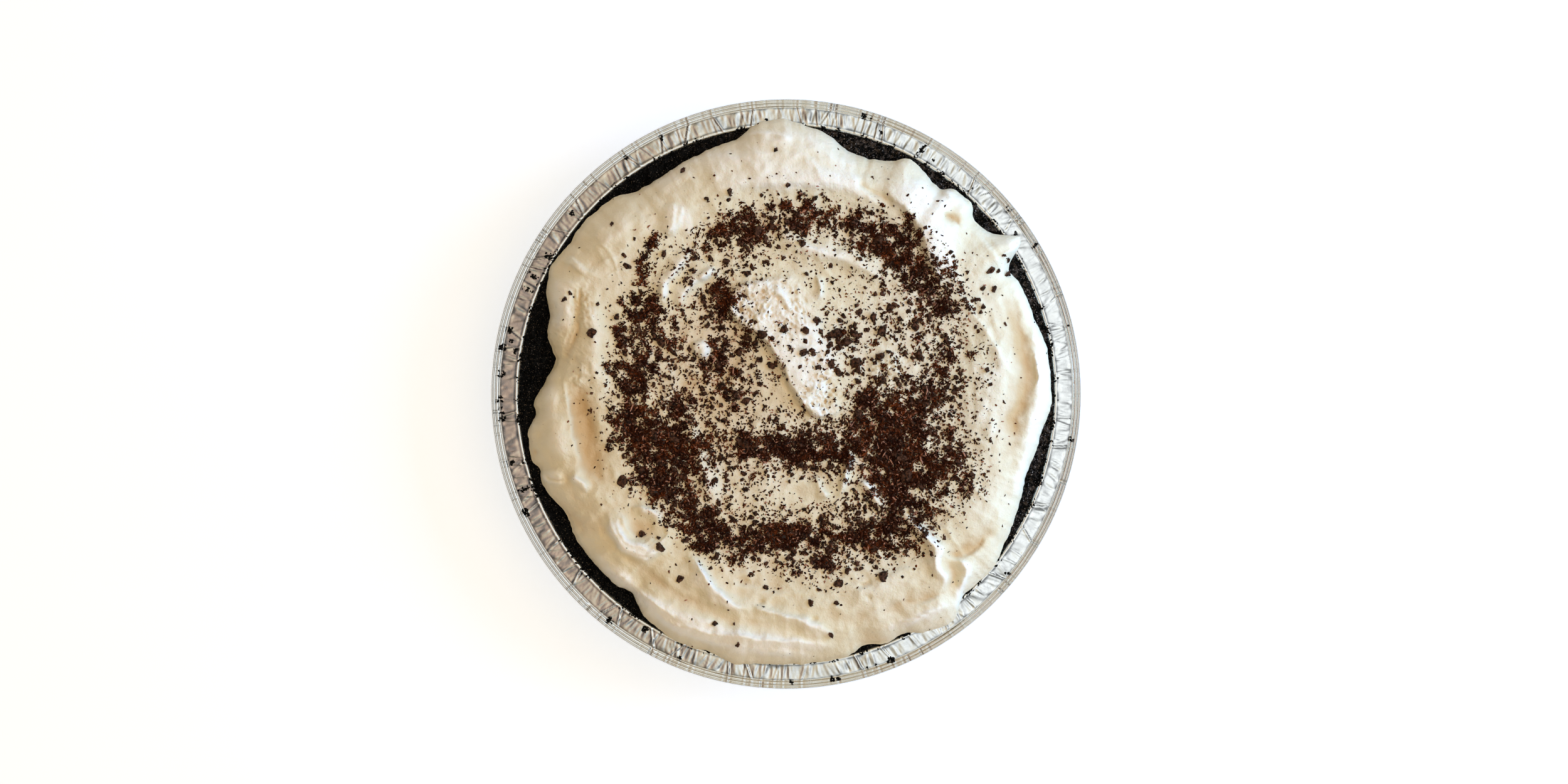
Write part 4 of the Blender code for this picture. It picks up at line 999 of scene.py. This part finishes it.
def addChip(bm, draw, place, length, height):  # a shard with uneven corners, then its broken faces and edges
    piece = bmesh.new()
    width = length * draw.uniform(0.55, 0.85)
    tall = length * draw.uniform(0.4, 0.6) + 1.4 * mm
    bmesh.ops.create_cube(piece, size=1.0)
    for corner in piece.verts:
        taper = draw.uniform(0.5, 0.8) if corner.co.z > 0 else draw.uniform(0.9, 1.1)
        corner.co.x *= length * taper * draw.uniform(0.85, 1.1)
        corner.co.y *= width * taper * draw.uniform(0.85, 1.1)
        corner.co.z *= tall * draw.uniform(0.75, 1.1)
    turn = Matrix.Rotation(draw.uniform(-0.3, 0.3), 4, "X"), Matrix.Rotation(draw.uniform(-0.3, 0.3), 4, "Y")
    spin = Matrix.Rotation(draw.uniform(0, math.tau), 4, "Z")
    breaks = random.Random(round(place[0] / mm * 100))
    for number in range(chips["breaks"]):
        away = Vector((breaks.uniform(-1, 1), breaks.uniform(-1, 1), breaks.uniform(-0.2, 0.9))).normalized()
        reach = max(away.dot(corner.co) for corner in piece.verts) * breaks.uniform(0.55, 0.85)
        cut = bmesh.ops.bisect_plane(piece, geom=piece.verts[:] + piece.edges[:] + piece.faces[:],
                                     plane_co=away * reach, plane_no=away, clear_outer=True)
        rim = [edge for edge in cut["geom_cut"] if isinstance(edge, bmesh.types.BMEdge)]
        bmesh.ops.contextual_create(piece, geom=rim)
    bmesh.ops.triangulate(piece, faces=piece.faces[:])
    bmesh.ops.subdivide_edges(piece, edges=piece.edges[:], cuts=2, use_grid_fill=True)
    bmesh.ops.smooth_vert(piece, verts=piece.verts[:], factor=0.5,
                          use_axis_x=True, use_axis_y=True, use_axis_z=True)
    for corner in piece.verts:
        rough = noise.turbulence_vector(corner.co / (0.9 * mm) + Vector((*place, 0.0)) / mm, 2, False)
        corner.co += rough * chips["fracture"] * mm
    bmesh.ops.recalc_face_normals(piece, faces=piece.faces[:])
    piece.transform(Matrix.Translation((*place, height)) @ spin @ turn[1] @ turn[0])
    shape = bpy.data.meshes.new("chip")
    piece.to_mesh(shape)
    piece.free()
    bm.from_mesh(shape)
    bpy.data.meshes.remove(shape)


def makeChips(finish):
    places = chipPlaces()
    draw = random.Random(chips["seed"] + 1)
    noise.seed_set(chips["noiseSeed"])  # Blender's vector noise would follow the clock otherwise
    x, y = np.array(places).T[:2] / mm
    bm = bmesh.new()
    for (*place, length), height in zip(places, toppingHeight(x, y) * mm):
        addChip(bm, draw, place, chips["gain"] * length, height + chips["lift"] * mm)
    mesh = bpy.data.meshes.new("chips")
    bm.to_mesh(mesh)
    bm.free()
    mesh.shade_smooth()
    mesh.set_sharp_from_angle(angle=math.radians(chips["crease"]))
    addPiece("chocolateChips", mesh, finish, "dark_chocolate")


def hullShape(places, smooth):
    bm = bmesh.new()
    for place in places:
        bm.verts.new(place)
    bmesh.ops.convex_hull(bm, input=bm.verts[:])
    bmesh.ops.delete(bm, geom=[v for v in bm.verts if not v.link_faces], context="VERTS")
    return finishShape(bm, smooth)


def shardShape(draw, points, sizes):  # the hull of a few points drawn in a box of these sizes
    places = [[draw.uniform(-0.5, 0.5) * size * mm for size in sizes] for number in range(points)]
    return hullShape(places, points > 6)


def fleckShape(draw, points, sizes):  # the hull of points drawn on an oval of these sizes
    places = []
    for number in range(points):
        way = Vector([draw.gauss(0.0, 1.0) for size in sizes]).normalized()
        places.append([0.5 * part * size * draw.uniform(0.8, 1.0) * mm for part, size in zip(way, sizes)])
    return hullShape(places, True)


def shredShape(draw, sizes):  # a curled, tapering strip of three cross-sections
    length, width, thick = (size * mm for size in sizes)
    bm = bmesh.new()
    curl, twist = draw.uniform(-0.5, 0.5), draw.uniform(-0.8, 0.8)
    rows = []
    for t, taper in ((-0.5, draw.uniform(0.25, 0.7)), (0.0, 1.0), (0.5, draw.uniform(0.2, 0.7))):
        side = Matrix.Rotation(twist * t, 3, "X")
        middle = Vector((t * length, curl * length * t * t, draw.uniform(0.0, 0.12) * length))
        corners = ((-0.5, -0.4), (0.5, -0.4), (0.0, 0.6))
        rows.append([bm.verts.new(middle + side @ Vector((0, a * width * taper, b * thick))) for a, b in corners])
    for near, far in zip(rows, rows[1:]):
        for a in range(3):
            bm.faces.new((near[a], near[(a + 1) % 3], far[(a + 1) % 3], far[a]))
    bm.faces.new(rows[0][::-1])
    bm.faces.new(rows[-1])
    return finishShape(bm)


def finishShape(bm, smooth=False):
    bmesh.ops.triangulate(bm, faces=bm.faces[:])
    bmesh.ops.recalc_face_normals(bm, faces=bm.faces[:])
    for face in bm.faces:
        face.smooth = smooth
    mesh = bpy.data.meshes.new("shape")
    bm.to_mesh(mesh)
    bm.free()
    return mesh


scattered = (  # name, slot, finish, surface and mask, evenness, most a mm2, scale, tilt, lift, pile, seed
    ("gratedShreds", "dark_chocolate", "grated", "topping", "grated", 1.2, 2.5, (0.5, 1.3), 0.8, 0.1, 0.9, 31),
    ("gratedCurls", "dark_chocolate", "grated", "topping", "grated", 1.0, 0.2, (0.6, 1.4), 0.5, 0.25, 1.0, 37),
    ("gratedFlecks", "dark_chocolate", "grated", "topping", "grated", 0.6, 2.4, (0.6, 1.6), 0.7, 0.06, 0.8, 32),
    ("looseFlecks", "dark_chocolate", "grated", "topping", "sprinkled", 1.1, 1.35, (0.55, 1.45), 0.5, 0.04, 0.2, 38),
    ("chocolateDust", "dark_chocolate", "grated", "topping", "sprinkled", 0.8, 1.2, (0.6, 1.5), 1.0, 0.02, 0.1, 33),
    ("chocolateBits", "dark_chocolate", "snapped", "topping", "sprinkled", 1.4, 0.3, (0.4, 1.2), 0.6, 0.1, 0.5, 34),
    ("cookieCrumbs", "cookie_crumb", "crumb", "crust", "crumbed", 1.0, 0.7, (0.45, 1.5), 1.2, 0.0, 0.0, 35),
    ("foilCrumbs", "cookie_crumb", "crumb", "pan", "crumbed", 1.0, 3.2, (0.5, 1.15), 1.2, 0.25, 0.0, 36),
)

shapesEach = 7

shapeMakers = {
    "gratedShreds": lambda draw: shredShape(draw, (draw.uniform(0.8, 1.6), draw.uniform(0.35, 0.6), 0.25)),
    "gratedCurls": lambda draw: shredShape(draw, (draw.uniform(1.7, 2.8), draw.uniform(0.5, 0.85), 0.2)),
    "gratedFlecks": lambda draw: shardShape(draw, 6, (1.0, 0.6, 0.4)),
    "looseFlecks": lambda draw: fleckShape(draw, 9, (draw.uniform(1.1, 1.7), draw.uniform(0.6, 0.9), 0.5)),
    "chocolateDust": lambda draw: shardShape(draw, 4, (0.5, 0.4, 0.3)),
    "chocolateBits": lambda draw: shardShape(draw, 16, (2.2, 1.7, 1.2)),
    "cookieCrumbs": lambda draw: shardShape(draw, 11, (1.5, 1.3, 1.1)),
    "foilCrumbs": lambda draw: shardShape(draw, 11, (1.3, 1.2, 1.0)),
}

rimCrumbs = (  # degrees round, radius and size of each little heap of crumbs on the foil
    (13.6, 111.8, 0.5), (30.8, 112.2, 0.5), (35, 108, 0.6), (48, 107, 0.5), (58, 106.5, 0.5), (61, 107.5, 0.6),
    (61, 110.4, 0.4), (70, 108, 0.5), (73, 112, 0.6), (74.5, 111.6, 0.7), (94, 106, 0.6), (116, 110, 0.9),
    (124, 110, 0.7), (140, 108.5, 0.9), (150, 106, 1.0), (155, 108, 0.8), (158, 108, 0.7), (167, 109.5, 1.2),
    (169, 108.5, 0.9), (170.5, 111, 1.4), (171, 106, 0.8), (176, 110.5, 1.3), (181, 110.5, 1.1), (183.5, 110.5, 1.1),
    (185, 110.4, 1.1), (194, 109.5, 1.0), (200, 108, 0.8), (204, 110.5, 0.9), (205, 110.4, 0.8), (232, 111, 1.0),
    (239, 106, 1.2), (246, 111, 0.8), (248, 110.5, 0.7), (271, 111.5, 0.7), (279, 111.8, 0.7), (280.5, 111.8, 0.7),
    (286.5, 110.6, 0.7), (288, 110.5, 0.6), (291.5, 110.6, 1.2), (321, 110.5, 0.8), (351, 111.5, 1.1),
    (355, 110, 0.5), (40, 111.5, 0.6),
)


def markRimCrumbs(mesh):  # where the crumbs lie on the foil: only on faces that look up
    x, y, z = vertexPlaces(mesh).T
    out = np.hypot(x, y)
    cover = 0.5 * (out > 102.4) * (out < 104.5) * (z > 28.0) * smoothStep(grain(x, y, 4.0, 41.0), -0.05, 0.3)
    for at, radius, size in rimCrumbs:
        away = np.hypot(x - radius * math.cos(math.radians(at)), y - radius * math.sin(math.radians(at)))
        cover += (away < size) & (z > 28.1)
    setAttribute(mesh, "crumbed", np.minimum(cover, 1.0))


def makeScattered(surfaces, finishes):
    tree = scatterTree()
    for name, slot, finish, surface, mask, evenness, most, scale, tilt, lift, pile, seed in scattered:
        draw = random.Random(seed)
        shapes = bpy.data.collections.new(name + "Shapes")
        bpy.context.scene.collection.children.link(shapes)
        for number in range(shapesEach):
            shapes.objects.link(bpy.data.objects.new(f"{name}Shape{number}", shapeMakers[name](draw)))
        mesh = runTree(surfaces[surface], tree, {
            "Shapes": shapes, "Where": mask, "Evenness": evenness, "Most": most / mm**2, "Seed": seed,
            "Smallest": scale[0], "Largest": scale[1], "Tilt": tilt, "Lift": lift * mm, "Pile": pile * mm,
            "Finish": finishes[finish],
        })
        for shape in list(shapes.objects):
            bpy.data.objects.remove(shape)
        bpy.data.collections.remove(shapes)
        addPiece(name, mesh, finishes[finish], slot)


# The whole pie

makeCamera()
makeLights()
makeFloor(floorPaper())
print("camera, lights and floor are ready")

finishes = {"crumb": cookieCrumb(), "snapped": darkChocolate(), "grated": gratedChocolate()}
foilPan = makePan(aluminiumFoil())
markRimCrumbs(foilPan.data)
crumbCrust = makeCrust(finishes["crumb"])
whippedTopping = makeTopping(whippedCream())
makeChips(finishes["snapped"])
makeScattered({"pan": foilPan, "crust": crumbCrust, "topping": whippedTopping}, finishes)
